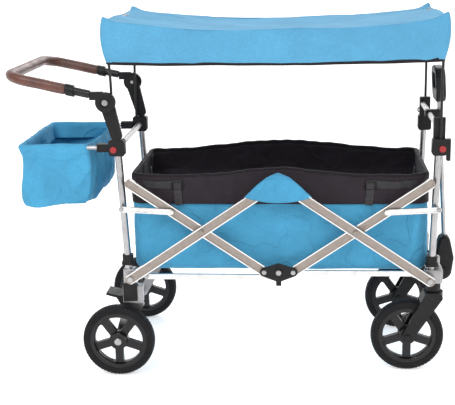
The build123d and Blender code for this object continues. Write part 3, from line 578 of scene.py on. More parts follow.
# ------------------------------------------------------------------ settings
def length(label, words, value):
    """A length setting, in metres."""
    return bpy.props.FloatProperty(name=label, description=words, default=value, unit="LENGTH", precision=4)


def angle(label, words, value):
    """An angle setting, in radians."""
    return bpy.props.FloatProperty(name=label, description=words, default=value, subtype="ANGLE")


def tint(label, words, value):
    """A colour setting."""
    return bpy.props.FloatVectorProperty(
        name=label, description=words, default=value, subtype="COLOR", min=0, max=1, size=3
    )


class WagonSizes(bpy.types.PropertyGroup):
    """Sizes of the soft goods that a user would change."""

    canopy_sag: length("Canopy sag", "How far the roof cloth hangs at mid length", 0.030)
    canopy_bulge: length("Skirt bulge", "How far the canopy's skirt stands out at mid height", 0.007)
    hem_height: length("Canopy hem", "Height of the black binding on the canopy", 0.012)
    wall_bulge: length("Wall bulge", "How far the basket's sides stand out between the bars", 0.012)
    cloth: length("Cloth thickness", "Thickness of the blue and black cloth", 0.0016)
    mat_swell: length("Mat swell", "Most that the floor mat's filling may lift its cover", 0.007)
    strap_width: length("Strap width", "Width of the seat straps", 0.025)
    stitch_pitch: length("Stitch pitch", "Distance from stitch to stitch", 0.0046)
    leather_radius: length("Grip radius", "Outside radius of the leather grip", 0.0158)


class WagonColours(bpy.types.PropertyGroup):
    """Colours of the finishes."""

    canopy_blue: tint("Canopy blue", "Cloth of the canopy", (0.100, 0.355, 0.575))
    basket_blue: tint("Basket blue", "Cloth of the basket, flaps and bag", (0.070, 0.345, 0.575))
    black_cloth: tint("Black cloth", "Liner, band and mat", (0.021, 0.0150, 0.0205))
    web_black: tint("Webbing", "Seat straps", (0.014, 0.012, 0.014))
    tube_silver: tint("Tube silver", "Anodised tubes", (0.44, 0.43, 0.435))
    bar_silver: tint("Bar silver", "Bright edges of the bars", (0.74, 0.73, 0.72))
    bar_face: tint("Bar face", "Dull faces of the bars", (0.36, 0.31, 0.275))
    plastic_black: tint("Black plastic", "Joints, forks and brackets", (0.008, 0.0072, 0.008))
    wheel_black: tint("Wheel black", "Spoked rims", (0.006, 0.0052, 0.0062))
    tyre_black: tint("Tyre black", "Tyres", (0.0055, 0.0050, 0.0060))
    leather_brown: tint("Leather brown", "Push handle grip", (0.13, 0.040, 0.025))
    button_red: tint("Button red", "Release buttons", (0.33, 0.022, 0.024))


class WagonStudio(bpy.types.PropertyGroup):
    """Camera and light of the studio."""

    camera_place: bpy.props.FloatVectorProperty(
        name="Camera place", description="Where the camera stands", default=(0.24105, -3.28315, 1.29215),
        subtype="TRANSLATION", size=3,
    )
    camera_turn: angle("Camera turn", "Turn to the right about the upright", -0.085)
    camera_fall: angle("Camera fall", "Tilt below level", 0.241)
    camera_roll: angle("Camera roll", "Roll about the view", -0.019)
    lens_angle: angle("Lens angle", "Angle that the picture's width takes in", 0.42474)
    sky: bpy.props.FloatProperty(
        name="Surrounding light", description="Strength of the white room", default=0.66
    )
    key: bpy.props.FloatProperty(
        name="Key light", description="Power of the main softbox", default=74.0, unit="POWER"
    )


def sizes():
    """The size settings."""
    return bpy.context.scene.wagon_sizes


def colours():
    """The colour settings."""
    return bpy.context.scene.wagon_colours


MATERIALS = {}


def finish_of(kind):
    """The material of one kind, made the first time it is asked for."""
    if kind not in MATERIALS:
        maker, colour, share, settings = FINISHES[kind]
        MATERIALS[kind] = maker(kind, shade(tuple(getattr(colours(), colour)), share), **settings)
    return MATERIALS[kind]


FINISHES = {
    "canopy cloth": (woven, "canopy_blue", 1, {"sheen": 0.03, "spread": 0.08}),
    "blue cloth": (woven, "basket_blue", 1, {"wrinkle": 0.0018, "crumple": 1.6}),
    "black cloth": (woven, "black_cloth", 1, {
        "thread": 1.3, "sheen": 0.12, "spread": 0.3, "rough": (0.6, 0.85), "wrinkle": 0.002}),
    "black tape": (woven, "black_cloth", 0.7, {"thread": 0.9, "sheen": 0.1, "spread": 0.2}),
    "webbing": (belt_web, "web_black", 1, {}),
    "blue thread": (woven, "basket_blue", 1.15, {"thread": 0.4}),
    "black thread": (woven, "black_cloth", 2.2, {"thread": 0.4}),
    "brown thread": (woven, "leather_brown", 0.55, {"thread": 0.4}),
    "leather": (hide, "leather_brown", 1, {}),
    "tyre rubber": (rubber, "tyre_black", 1, {}),
    "tube silver": (metal, "tube_silver", 1, {}),
    "flat silver": (metal, "bar_silver", 1, {"rough": (0.2, 0.36), "brushed": (18, 1, 1)}),
    "cast silver": (metal, "tube_silver", 0.86, {
        "rough": (0.3, 0.5), "brushed": (1, 1, 1), "bands": 700, "relief": 0.0001}),
    "bolt steel": (metal, "tube_silver", 0.9, {"rough": (0.16, 0.3), "brushed": (1, 8, 1), "bands": 1200}),
    "black plastic": (moulded, "plastic_black", 1, {}),
    "black paint": (moulded, "plastic_black", 1, {
        "rough": (0.3, 0.45), "grain": 1500, "relief": 0.00004, "coat": 0.14}),
    "red plastic": (moulded, "button_red", 1, {
        "rough": (0.22, 0.36), "grain": 1200, "relief": 0.00003, "coat": 0.21}),
    "wheel plastic": (moulded, "wheel_black", 1, {
        "rough": (0.26, 0.42), "grain": 800, "relief": 0.00005, "coat": 0.175}),
}

SLOT_FINISH = {
    "silver_tube": "tube silver", "silver_bar": "flat silver", "casting": "cast silver",
    "steel": "bolt steel", "black_plastic": "black plastic", "black_rod": "black paint",
    "red_button": "red plastic", "wheel_plastic": "wheel plastic", "tyre": "tyre rubber",
    "leather": "leather", "blue_fabric": "blue cloth", "canopy_blue": "canopy cloth",
    "black_fabric": "black cloth", "webbing": "webbing",
}


# ------------------------------------------------------------------ operators
class WAGON_OT_finishes(bpy.types.Operator):
    """Give every frame part the finish of its material"""

    bl_idname = "wagon.finishes"
    bl_label = "Frame finishes"

    def execute(self, context):
        for node, piece in frame["nodes"].items():
            piece.data.materials.clear()
            piece.data.materials.append(self.material_of(node))
        return {"FINISHED"}

    def material_of(self, node):
        """The bars have a material each, laid along their own run; the rest share one a slot."""
        if node not in BAR_RUNS:
            return finish_of(SLOT_FINISH[NODE_SLOTS[node]])
        c = colours()
        foot, head = BAR_RUNS[node]
        run = (head[0] - foot[0], head[1] - foot[1])
        name = node.replace("_", " ") + " metal"
        return bar_metal(name, tuple(c.bar_silver), tuple(c.bar_face), foot, run, BAR_HALF_FACE)


class WAGON_OT_canopy(bpy.types.Operator):
    """Lay the roof cloth over its two bows and hang its skirts"""

    bl_idname = "wagon.canopy"
    bl_label = "Canopy"

    def execute(self, context):
        s = sizes()
        low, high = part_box("canopy_fabric")
        middle = (low + high) / 2
        half_x = (high.x - low.x) / 2
        half_y = (high.y - low.y) / 2 - 0.004
        rows = np.concatenate([[0.012, 0.03, 0.06], np.linspace(0.1, 1, 20)])
        way, step, faces, hem = net(even(96, 0.008), even(54, 0.012), rows)
        drop = np.clip(step - 1, 0, 1)
        reach = np.clip(step, 0, 1)
        puff = s.canopy_bulge * np.clip(np.sin(math.pi * drop), 0, 1) ** 0.8 * (step > 1)
        taper = 0.009 * drop**2
        plan = rounded(way, half_x + puff * 0.9 - taper, half_y + puff - taper * 0.4, 0.014) * reach[:, None]
        along = np.clip(plan[:, 0] / half_x, -1, 1)
        across = np.clip(plan[:, 1] / half_y, -1, 1)
        peak = 0.013 * np.exp(-(((1 - np.abs(along)) / 0.05) ** 2))
        peak *= np.exp(-(((1 - np.abs(across)) / 0.10) ** 2))
        slack = s.canopy_sag * (1 - along**2) ** 0.85
        slack += (0.010 * (1 - along**2) + 0.004 * np.abs(np.sin(3 * math.pi * along))) * (1 - across**2)
        top = high.z - 0.006 + peak - np.clip(slack, 0, 1)
        bottom = low.z + 0.001 - 0.008 * (1 - along**2)
        points = np.stack([middle.x + plan[:, 0], middle.y + plan[:, 1], top + (bottom - top) * drop], -1)
        faces = face_outwards(points, faces, tuple(middle))
        roof = mesh_of("canopy_cloth", points, faces, finish_of("canopy cloth"))
        press(roof, lambda p: LOOSE_FOLDS * self.folds(p, low, high))
        edge = points_of(roof.data)[hem]
        thicken(roof, s.cloth)
        fold = (low.x, CANOPY_KEEP)
        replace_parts(roof, "canopy_fabric")
        settle(roof, "canopy", fold)
        line = resample(edge, 0.009, True)
        height = s.hem_height
        u_shape = np.array([
            [0.0022, height], [0.0022, -0.0016], [0.001, -0.0026], [-0.002, -0.0026],
            [-0.0034, -0.0016], [-0.0034, height], [-0.0024, height], [0.0012, height],
        ])
        binding = carried("canopy_hem_binding", line, u_shape, finish_of("black tape"), True)
        settle(binding, "canopy", fold)
        _, side, _ = frames(line, True)
        seam = line + side * 0.0024 + [0, 0, height * 0.72]
        thread = stitches(
            "canopy_hem_stitches", seam, (0, 0, 1), finish_of("black thread"), s.stitch_pitch, closed=True
        )
        settle(thread, "canopy", fold)
        return {"FINISHED"}

    def folds(self, p, low, high):
        """Drag lines from the roof's corners, creases in the skirts, and soft waves all over."""
        near, far = low.y, high.y
        top, foot = high.z, low.z
        rear, front = low.x, high.x
        lines = (
            ((rear + 0.08, near, foot + 0.07), (rear + 0.26, near, foot + 0.012), 0.013, 0.0045),
            ((rear + 0.12, near, foot + 0.052), (rear + 0.22, near, foot + 0.03), 0.008, -0.003),
            ((rear + 0.50, near, top - 0.05), (rear + 0.52, near, foot + 0.01), 0.02, 0.0022),
            ((front - 0.10, near, top - 0.03), (front - 0.06, near, foot + 0.01), 0.012, 0.004),
            ((front - 0.045, near, top - 0.02), (front - 0.03, near, foot + 0.02), 0.010, -0.004),
            ((front - 0.17, near, top - 0.05), (front - 0.19, near, foot + 0.02), 0.016, 0.0025),
            ((rear + 0.02, near, top - 0.01), (rear + 0.30, near * 0.6, top - 0.03), 0.02, 0.003),
            ((front - 0.02, near, top - 0.01), (front - 0.26, near * 0.55, top - 0.03), 0.018, 0.0035),
            ((rear + 0.02, far, top - 0.01), (rear + 0.24, far * 0.5, top - 0.03), 0.02, 0.003),
            ((front - 0.02, far, top - 0.01), (front - 0.3, far * 0.5, top - 0.03), 0.02, 0.003),
            ((rear + 0.25, far, top - 0.05), (rear + 0.21, far, foot + 0.01), 0.016, 0.0035),
            ((front - 0.22, far, top - 0.04), (front - 0.15, far, foot + 0.01), 0.015, -0.003),
            ((rear, near * 0.4, top - 0.03), (rear, near * 0.5, foot + 0.01), 0.015, 0.003),
            ((rear, far * 0.5, top - 0.03), (rear, far * 0.35, foot + 0.01), 0.015, -0.003),
            ((front, near * 0.3, top - 0.03), (front, near * 0.2, foot + 0.01), 0.015, 0.003),
            ((front, far * 0.6, top - 0.03), (front, far * 0.5, foot + 0.01), 0.015, 0.003),
        )
        return lumps(p, 0.34, 0.0035, 11) + lumps(p, 0.13, 0.0013, 12) + creases(p, lines)


class WAGON_OT_basket(bpy.types.Operator):
    """Build the basket: blue outside, black band, bound rim and black lining"""

    bl_idname = "wagon.basket"
    bl_label = "Basket"
    lining_gap = 0.0055
    pace = 0.007

    def execute(self, context):
        s = sizes()
        fold = (REAR_X, FOLD_KEEP)
        low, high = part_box("basket_shell")
        band_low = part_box("basket_trim")[0].z
        half = (high - low) / 2
        shell = self.tub("basket_outer_cloth", 0.0, (low.z, high.z - 0.002), 0.022, s.wall_bulge, half)
        press(shell, lambda p: np.clip(
            SHELL_FOLDS * self.outer_folds(p), -0.001, self.room_outside(p, band_low)))
        thicken(shell, s.cloth)
        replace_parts(shell, "basket_shell")
        settle(shell, "rear_frame", fold)
        inside = (low.z + self.lining_gap, high.z - 0.001)
        liner = self.tub("basket_lining", self.lining_gap, inside, 0.018, s.wall_bulge * 0.7, half)
        press(liner, lambda p: np.clip(LINING_FOLDS * self.inner_folds(p), -0.020, 0.0008))
        thicken(liner, 0.0022, -1.0)
        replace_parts(liner, "basket_liner")
        settle(liner, "rear_frame", fold)
        self.band(band_low, high.z, half, fold)
        return {"FINISHED"}

    def room_outside(self, p, band_low):
        """How far a fold may stand out: 16 mm, and only 1 mm under the band."""
        return 0.001 + 0.015 * np.clip((band_low - p[:, 2]) / 0.025, 0, 1)

    def tub(self, name, inset, levels, edge, bulge, half):
        """A tray: a flat floor, a quarter round of the edge's radius, and walls that stand out by
        the bulge times the sine of the height's share along the long sides."""
        floor, rim = levels
        wall_rows = 33
        turn = np.linspace(0, math.pi / 2, 6)[1:]
        height = rim - floor
        rise = np.concatenate([edge * (1 - np.cos(turn)), np.linspace(edge, height, wall_rows + 1)[1:]])
        rows = np.arange(1, len(rise) + 1) / len(rise)
        way, step, faces, _ = net(even(118, 0.004), even(56, 0.01), rows)
        index = np.clip(np.round((step - 1) * len(rise)).astype(int) - 1, 0, None)
        inwards = edge * (1 - np.concatenate([np.sin(turn), np.ones(wall_rows)]))
        wall = step > 1
        z = np.where(wall, rise[index], 0)
        draw_in = np.where(wall, inwards[index], edge)
        share = np.clip(z / height, 0, 1)
        swell = bulge * np.clip(np.sin(math.pi * share), 0, 1) ** 0.7 * wall
        reach = np.clip(step, 0, 1)
        corner = np.maximum(0.030 - inset - draw_in * 0.6, 0.008)
        plan = rounded(way, half.x - inset - draw_in, half.y - inset - draw_in, corner)
        sideways = (1 - np.clip(np.abs(plan[:, 0]) / half.x, 0, 1) ** 4) * swell
        endways = (1 - np.clip(np.abs(plan[:, 1]) / half.y, 0, 1) ** 4) * swell * 0.35
        on_edge = np.abs(way) > 0.999
        plan = plan + way * on_edge * np.stack([endways, sideways], -1)
        plan *= reach[:, None]
        lift = rim_lift(MID_X + plan[:, 0], plan[:, 1], half.y)
        z = z + lift * np.clip((share - 0.74) / 0.26, 0, 1) * wall
        points = np.stack([MID_X + plan[:, 0], plan[:, 1], floor + z], -1)
        faces = face_outwards(points, faces, (MID_X, 0, (floor + rim) / 2))
        cloth = finish_of("black cloth" if inset else "blue cloth")
        return mesh_of(name, points, faces, cloth)

    def outer_folds(self, p):
        """Drag lines between the bar pivots and the lower corners, a gathered seam over the
        bottom bracket, and slack at the front end; calmer under the band and at the floor."""
        out = lumps(p, 0.26, 0.004, 21) + lumps(p, 0.075, 0.0012, 22)
        upright = np.clip((p[:, 2] - 0.335) / 0.04, 0, 1) * np.clip((0.60 - p[:, 2]) / 0.03, 0, 1)
        for side in ENDS:
            y = side * 0.204
            lines = (
                ((MID_X, y, 0.335), (MID_X + 0.004, y, 0.50), 0.010, 0.005),
                ((MID_X - 0.012, y, 0.335), (MID_X - 0.05, y, 0.47), 0.009, -0.003),
                ((MID_X + 0.014, y, 0.335), (MID_X + 0.06, y, 0.46), 0.009, 0.003),
                ((MID_X, y, 0.345), (MID_X - 0.10, y, 0.36), 0.007, 0.004),
                ((MID_X, y, 0.345), (MID_X + 0.10, y, 0.355), 0.007, -0.003),
                ((REAR_X + 0.02, y, 0.335), (REAR_X + 0.15, y, 0.42), 0.014, 0.005),
                ((REAR_X + 0.05, y, 0.33), (REAR_X + 0.22, y, 0.36), 0.009, 0.004),
                ((REAR_X + 0.10, y, 0.52), (REAR_X + 0.17, y, 0.45), 0.012, 0.004),
                ((REAR_X + 0.19, y, 0.52), (REAR_X + 0.27, y, 0.47), 0.012, -0.003),
                ((FRONT_X - 0.03, y, 0.56), (FRONT_X - 0.045, y, 0.36), 0.012, 0.007),
                ((FRONT_X - 0.07, y, 0.50), (FRONT_X - 0.10, y, 0.40), 0.012, -0.004),
                ((FRONT_X - 0.02, y, 0.345), (FRONT_X - 0.16, y, 0.39), 0.012, 0.005),
                ((FRONT_X - 0.30, y, 0.53), (FRONT_X - 0.20, y, 0.46), 0.012, 0.004),
                ((FRONT_X - 0.14, y, 0.52), (FRONT_X - 0.22, y, 0.46), 0.010, -0.003),
            )
            out += creases(p, lines)
        for x in (REAR_X, FRONT_X):
            out += crease(p, (x, -0.15, 0.34), (x, -0.02, 0.50), 0.015, 0.005)
            out += crease(p, (x, 0.15, 0.34), (x, 0.04, 0.48), 0.015, -0.004)
        return out * (0.35 + 0.65 * upright)

    def inner_folds(self, p):
        """The upper panel gathers under the rim, the padded lower panel stands in below a seam
        that runs round, and two seams rise to the middle of each long side."""
        height = p[:, 2]
        seam = 0.548
        out = -0.006 * np.clip((seam - height) / 0.012, 0, 1) * np.clip((height - 0.36) / 0.02, 0, 1)
        around = p[:, 0] + p[:, 1]
        out += 0.0022 * np.sin(around * 90 + 2 * np.sin(around * 31)) * np.clip((height - seam) / 0.03, 0, 1)
        out += lumps(p, 0.16, 0.004, 31) * np.clip((height - 0.34) / 0.03, 0, 1)
        out += lumps(p, 0.05, 0.0012, 32)
        for side in ENDS:
            y = side * 0.195
            for way in ENDS:
                out += crease(p, (MID_X, y, 0.606), (MID_X + way * 0.15, y, 0.552), 0.006, -0.004)
                out += crease(p, (MID_X + way * 0.012, y, 0.60), (MID_X + way * 0.10, y, 0.55), 0.02, 0.003)
        return out

    def band(self, low, rim, half, fold):
        """The black band round the outside below the rim, its seam, and the bound rim."""
        s = sizes()
        sides, ends, corner = half.y, half.x, 0.030
        path = rounded_path(
            [(MID_X, -sides, 0), (MID_X + ends, -sides, 0), (MID_X + ends, sides, 0),
             (MID_X - ends, sides, 0), (MID_X - ends, -sides, 0), (MID_X - 0.001, -sides, 0)],
            [corner] * 4,
        )
        line = resample(path, self.pace, True)
        _, side, _ = frames(line, True)
        levels = np.linspace(0, 1, 16)
        height = low + (rim + 0.002 - low) * levels
        shell_foot, shell_rise = 0.318, 0.288
        share = (height - shell_foot) / shell_rise
        swell = s.wall_bulge * np.clip(np.sin(math.pi * np.clip(share, 0, 1)), 0, 1) ** 0.7
        flatness = 1 - np.clip(np.abs(line[:, 0] - MID_X) / ends, 0, 1) ** 4
        on_side = np.abs(side[:, 1]) > 0.9
        out = 0.0035 + swell[None] * (flatness * on_side)[:, None]
        arc = np.arange(len(line)) * self.pace
        gathers = np.sin(arc * 140 + 3 * np.sin(arc * 22))
        out = out + 0.0013 * gathers[:, None] * np.sin(math.pi * levels)[None]
        lift = rim_lift(line[:, 0], line[:, 1], sides)
        points = line[:, None] + side[:, None] * out[..., None]
        points = points + np.array([0, 0, 1.0]) * (height[None] + lift[:, None] * levels[None])[..., None]
        faces = grid_faces(len(line), len(levels), True, False)
        faces = face_outwards(points.reshape(-1, 3), faces, (MID_X, 0, rim - 0.04))
        band = mesh_of("basket_black_band", points, faces, finish_of("black cloth"))
        thicken(band, 0.0018, 1.0)
        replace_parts(band, "basket_trim")
        settle(band, "rear_frame", fold)
        loop = line + np.array([0, 0, rim + 0.003]) - side * 0.003
        loop[:, 2] += 0.0005 * np.sin(arc * 60) + 0.0003 * np.sin(arc * 143) + lift
        tape = oval(0.0135, 0.0125, 14, 0.8)
        binding = carried("basket_rim_binding", loop, tape, finish_of("black tape"), True)
        settle(binding, "rear_frame", fold)
        seam_line = points[:, 1] + side * 0.0018
        thread = finish_of("black thread")
        seam = stitches("basket_band_stitches", seam_line, (0, 0, 1), thread, s.stitch_pitch, closed=True)
        settle(seam, "rear_frame", fold)


class WAGON_OT_floor_mat(bpy.types.Operator):
    """Fill the folding floor mat and sew its channels"""

    bl_idname = "wagon.floor_mat"
    bl_label = "Floor mat"

    def execute(self, context):
        s = sizes()
        low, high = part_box("floor_mat")
        pad = self.block(low, high)
        self.fill(pad, s.mat_swell)
        press(pad, lambda p: self.channels(p, low, high))
        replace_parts(pad, "floor_mat")
        settle(pad, "rear_frame", (REAR_X, FOLD_KEEP))
        return {"FINISHED"}

    def block(self, low, high):
        """A slim closed block: a tray's net for its top and wall, closed below by a second flat."""
        half = (high - low) / 2
        middle = (high + low) / 2
        columns, lines = 150, 64
        rows = np.linspace(0, 1, 7)[1:]
        way, step, faces, _ = net(even(columns, 0.01), even(lines, 0.02), rows)
        drop = np.clip(step - 1, 0, 1)
        rim = np.sin(math.pi * np.clip(drop, 0, 1)) * 0.004
        plan = rounded(way, half.x - 0.004 + rim, half.y - 0.004 + rim, 0.022) * np.clip(step, 0, 1)[:, None]
        crown = 0.0025 * (1 - np.clip(step, 0, 1) ** 6)
        top = high.z - 0.004 + crown
        z = top + (low.z + 0.001 - top) * drop
        points = np.stack([middle.x + plan[:, 0], middle.y + plan[:, 1], z], -1)
        under = points[:columns * lines] * [1, 1, 0] + [0, 0, low.z + 0.001]
        lower = grid_faces(columns, lines) + len(points)
        faces = face_outwards(points, faces, tuple(middle))
        both = np.concatenate([points, under])
        lower = face_outwards(both, lower, tuple(middle))
        pad = mesh_of("floor_mat_pad", both, np.concatenate([faces, lower]), finish_of("black cloth"))
        return weld(pad, 0.0001)

    def fill(self, pad, most):
        """Swells the cover with pressed-in filling, then keeps each point within the most."""
        scene = bpy.context.scene
        remesh = pad.modifiers.new("voxels", "REMESH")
        remesh.mode = "VOXEL"
        remesh.voxel_size = 0.006
        remesh.use_smooth_shade = True
        self.apply(pad)
        before = points_of(pad.data)
        cloth = pad.modifiers.new("cover", "CLOTH")
        cloth.settings.use_pressure = True
        cloth.settings.uniform_pressure_force = 4
        cloth.settings.effector_weights.gravity = 0
        cloth.settings.quality = 4
        last_frame = 20
        cloth.point_cache.frame_start, cloth.point_cache.frame_end = 1, last_frame
        for number in range(1, last_frame + 1):
            scene.frame_set(number)
        self.apply(pad)
        scene.frame_set(1)
        move = points_of(pad.data) - before
        far = np.maximum(np.linalg.norm(move, axis=1, keepdims=True), 1e-9)
        place = before + move / far * np.minimum(far, most)
        place[:, 2] = np.maximum(place[:, 2], before[:, 2].min())
        pad.data.vertices.foreach_set("co", place.ravel())
        pad.data.update()

    def apply(self, pad):
        """Takes the modifiers' result as the mesh."""
        graph = bpy.context.evaluated_depsgraph_get()
        material = pad.data.materials[0]
        shape = bpy.data.meshes.new_from_object(pad.evaluated_get(graph))
        pad.modifiers.clear()
        pad.data = shape
        pad.data.materials.clear()
        pad.data.materials.append(material)
        pad.data.polygons.foreach_set("use_smooth", np.ones(len(shape.polygons), bool))

    def channels(self, p, low, high):
        """Sewn lines: three hinges across the mat, and two rows along it."""
        length_x = high.x - low.x
        upper = np.clip((p[:, 2] - low.z - 0.006) / 0.004, 0, 1)
        out = np.zeros(len(p))
        for share in (0.25, 0.5, 0.75):
            out -= 0.0055 * np.exp(-(((p[:, 0] - low.x - share * length_x) / 0.006) ** 2))
        for y in (-0.075, 0.075):
            out -= 0.0025 * np.exp(-(((p[:, 1] - y) / 0.004) ** 2))
        return (out + lumps(p, 0.09, 0.0016, 41)) * upper


class WAGON_OT_harnesses(bpy.types.Operator):
    """Hang and buckle the two seat harnesses"""

    bl_idname = "wagon.harnesses"
    bl_label = "Seat harnesses"

    def execute(self, context):
        fold = (REAR_X, FOLD_KEEP)
        first = None
        for end, label in ((-1, "rear"), (1, "front")):
            for piece, finish in self.straps(end, label):
                if first is None:
                    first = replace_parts(piece, "seat_harnesses")
                settle(piece, "rear_frame", fold)
        return {"FINISHED"}

    def straps(self, end, label):
        """Each strap is a flat profile with round edges carried along its line."""
        wall = (REAR_X if end < 0 else FRONT_X) - end * 0.013
        width = sizes().strap_width
        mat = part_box("floor_mat")[1].z + 0.004
        made = []

        def strap(name, points, radii, up, breadth=width):
            """One strap along a rounded line, added to the pieces made."""
            line = resample(rounded_path(points, radii), 0.006)
            section = oval(breadth, 0.0022, 14, 0.45)
            piece = carried(f"{label}_{name}", line, section, finish_of("webbing"), up=up)
            made.append((piece, "webbing"))

        def inward(distance):
            """The place along X that lies a distance inwards of the end wall."""
            return wall - end * distance

        facing = (-end, 0, 0.05)
        for side, word in ((-1, "near"), (1, "far")):
            y = side * 0.070
            shoulder = [
                (inward(0.004), y, 0.585), (inward(0.010), y, 0.50),
                (inward(0.009), y * 1.05, 0.40), (inward(0.012), y * 1.05, mat + 0.012),
            ]
            strap(f"shoulder_strap_{word}", shoulder, [0.06, 0.06], facing)
            slide = self.slide(f"{label}_slide_{word}", (inward(0.0125), y, 0.49))
            made.append((slide, "black_plastic"))
            lap = [
                (inward(0.008), side * 0.146, 0.418), (inward(0.013), side * 0.09, 0.408),
                (inward(0.016), side * 0.018, 0.415),
            ]
            strap(f"lap_strap_{word}", lap, [0.12], facing)
            self.outer_straps(end, side, word, strap, made, label)
        crotch = [(inward(0.012), 0, mat + 0.010), (inward(0.017), 0.002, 0.375), (inward(0.016), 0, 0.41)]
        strap("crotch_strap", crotch, [0.10], (-end, 0, 0.3))
        made.append((self.buckle(f"{label}_buckle", (inward(0.018), 0, 0.415)), "black_plastic"))
        return made

    def outer_straps(self, end, side, word, strap, made, label):
        """A strap along the band from the corner to a slide, and its end hanging down to the blue
        cloth, as the flat profile carried along each line."""
        low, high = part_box("basket_trim")
        corner = REAR_X if end < 0 else FRONT_X
        swell = sizes().wall_bulge
        reach = 0.140 if end < 0 else 0.172

        def spot(along, off, share, height):
            """A point a way along the band from the corner, and off the cloth by off and by a
            share of the wall's swell."""
            return (corner - end * along, side * (high.y + off + swell * share), height)

        level = [
            spot(0.035, 0.0035, 0, 0.590), spot(reach * 0.6, 0.003, 0.42, 0.586),
            spot(reach, 0.003, 0.36, 0.590),
        ]
        strap(f"corner_strap_{word}", level, [0.3], (0, side, 0), 0.022)
        hanging = [
            spot(reach, 0.006, 0.30, 0.602), spot(reach, 0.0035, 0.62, 0.565),
            spot(reach + 0.004, 0.004, 0.95, low.z - 0.002),
        ]
        strap(f"corner_strap_end_{word}", hanging, [0.10], (0, side, 0), 0.024)
        slide = self.slide(f"{label}_corner_slide_{word}", spot(reach, 0.0035, 0.62, 0.586), True)
        made.append((slide, "black_plastic"))

    def buckle(self, name, place):
        """A buckle: a squared-off ball, waisted at its middle and dished round its button."""
        rings, round_it = 33, 64
        rise = np.linspace(-math.pi / 2, math.pi / 2, rings)
        turn = np.linspace(0, 2 * math.pi, round_it, endpoint=False)
        u, v = np.meshgrid(rise, turn, indexing="ij")

        def squared(value, power):
            """The power of the value's size, with its own sign."""
            return np.sign(value) * np.abs(value) ** power

        z = 0.021 * squared(np.cos(u), 0.35) * squared(np.cos(v), 0.45)
        y = 0.026 * squared(np.cos(u), 0.35) * squared(np.sin(v), 0.45)
        x = 0.0062 * squared(np.sin(u), 0.5)
        z = z * (1 - 0.16 * np.cos(y / 0.026 * math.pi / 2) ** 2)
        x = x - 0.0016 * np.sign(x) * np.exp(-((np.hypot(z, y) - 0.009) ** 2) / 0.0012**2)
        points = np.stack([x + place[0], y + place[1], z + place[2]], -1)
        faces = face_outwards(points.reshape(-1, 3), grid_faces(rings, round_it, False, True), place)
        return weld(mesh_of(name, points, faces, finish_of("black plastic")), 0.00005)

    def slide(self, name, place, sideways=False):
        """A strap slide: a round wire carried round an oblong that stands across the strap."""
        x, y, z = place
        w, h = 0.017, 0.011
        turn = [(0, -h), (w, -h), (w, h), (-w, h), (-w, -h), (-0.0005, -h)]
        corners = [(x + a, y, z + b) if sideways else (x, y + a, z + b) for a, b in turn]
        loop = resample(rounded_path(corners, [0.004] * 4, 5), 0.0025, True)
        across = (0, 1, 0) if sideways else (1, 0, 0)
        return carried(name, loop, oval(0.0034, 0.0034, 10), finish_of("black plastic"), True, across)


class WAGON_OT_side_flaps(bpy.types.Operator):
    """Drape a flap over each top bracket"""

    bl_idname = "wagon.side_flaps"
    bl_label = "Side flaps"

    def execute(self, context):
        low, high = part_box("side_flaps")
        middle = (low.x + high.x) / 2
        half = (high.x - low.x) / 2
        outer = high.y
        columns, rows = 49, 45
        section = (
            (0, 0.14, 0.30, 0.40, 0.50, 0.62, 1.0),
            (0.074, 0.056, 0.030, 0.014, 0.005, 0.002, 0.001),
            (0.586, 0.615, 0.633, 0.630, 0.617, 0.600, 0.548),
        )
        for side, word in ((-1, "near"), (1, "far")):
            u, t = np.meshgrid(np.linspace(-1, 1, columns), np.linspace(0, 1, rows), indexing="ij")
            y = outer - np.interp(t, section[0], section[1])
            z = np.interp(t, section[0], section[2])
            spread = 0.011 + (half - 0.011) * np.clip((t - 0.22) / 0.78, 0, 1) ** 0.92
            y = y + 0.004 * (1 - u**2) * t - 0.010 * u**2 * t
            z = z + 0.014 * u**2 * t**3 - 0.010 * np.abs(u) ** 1.5 * np.exp(-(((t - 0.35) / 0.2) ** 2))
            x = middle + u * spread
            points = np.stack([x, side * y, z], -1)
            under = (middle, side * 0.20, 0.56)
            faces = face_outwards(points.reshape(-1, 3), grid_faces(columns, rows), under)
            flap = mesh_of(f"{word}_side_flap", points, faces, finish_of("blue cloth"))
            peak = (middle, side * 0.27, 0.625)
            lines = (
                (peak, (middle - 0.06, side * 0.272, 0.565), 0.008, 0.0016),
                (peak, (middle + 0.07, side * 0.272, 0.57), 0.009, -0.0014),
            )
            press(flap, lambda p: lumps(p, 0.09, 0.0016, 51 + side) + creases(p, lines))
            thicken(flap, 0.002)
            place = points_of(flap.data).reshape(columns, rows, 3)
            edge = np.concatenate([place[1, 8:-2], place[1:-1, -2], place[-2, -3:8:-1]])
            edge = edge + [0, side * 0.0006, 0]
            thread = finish_of("blue thread")
            seam = stitches(f"{word}_flap_stitches", edge, (0, side, 0), thread, sizes().stitch_pitch)
            if side < 0:
                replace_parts(flap, "side_flaps")
            settle(flap, "top_bracket")
            settle(seam, "top_bracket")
        return {"FINISHED"}


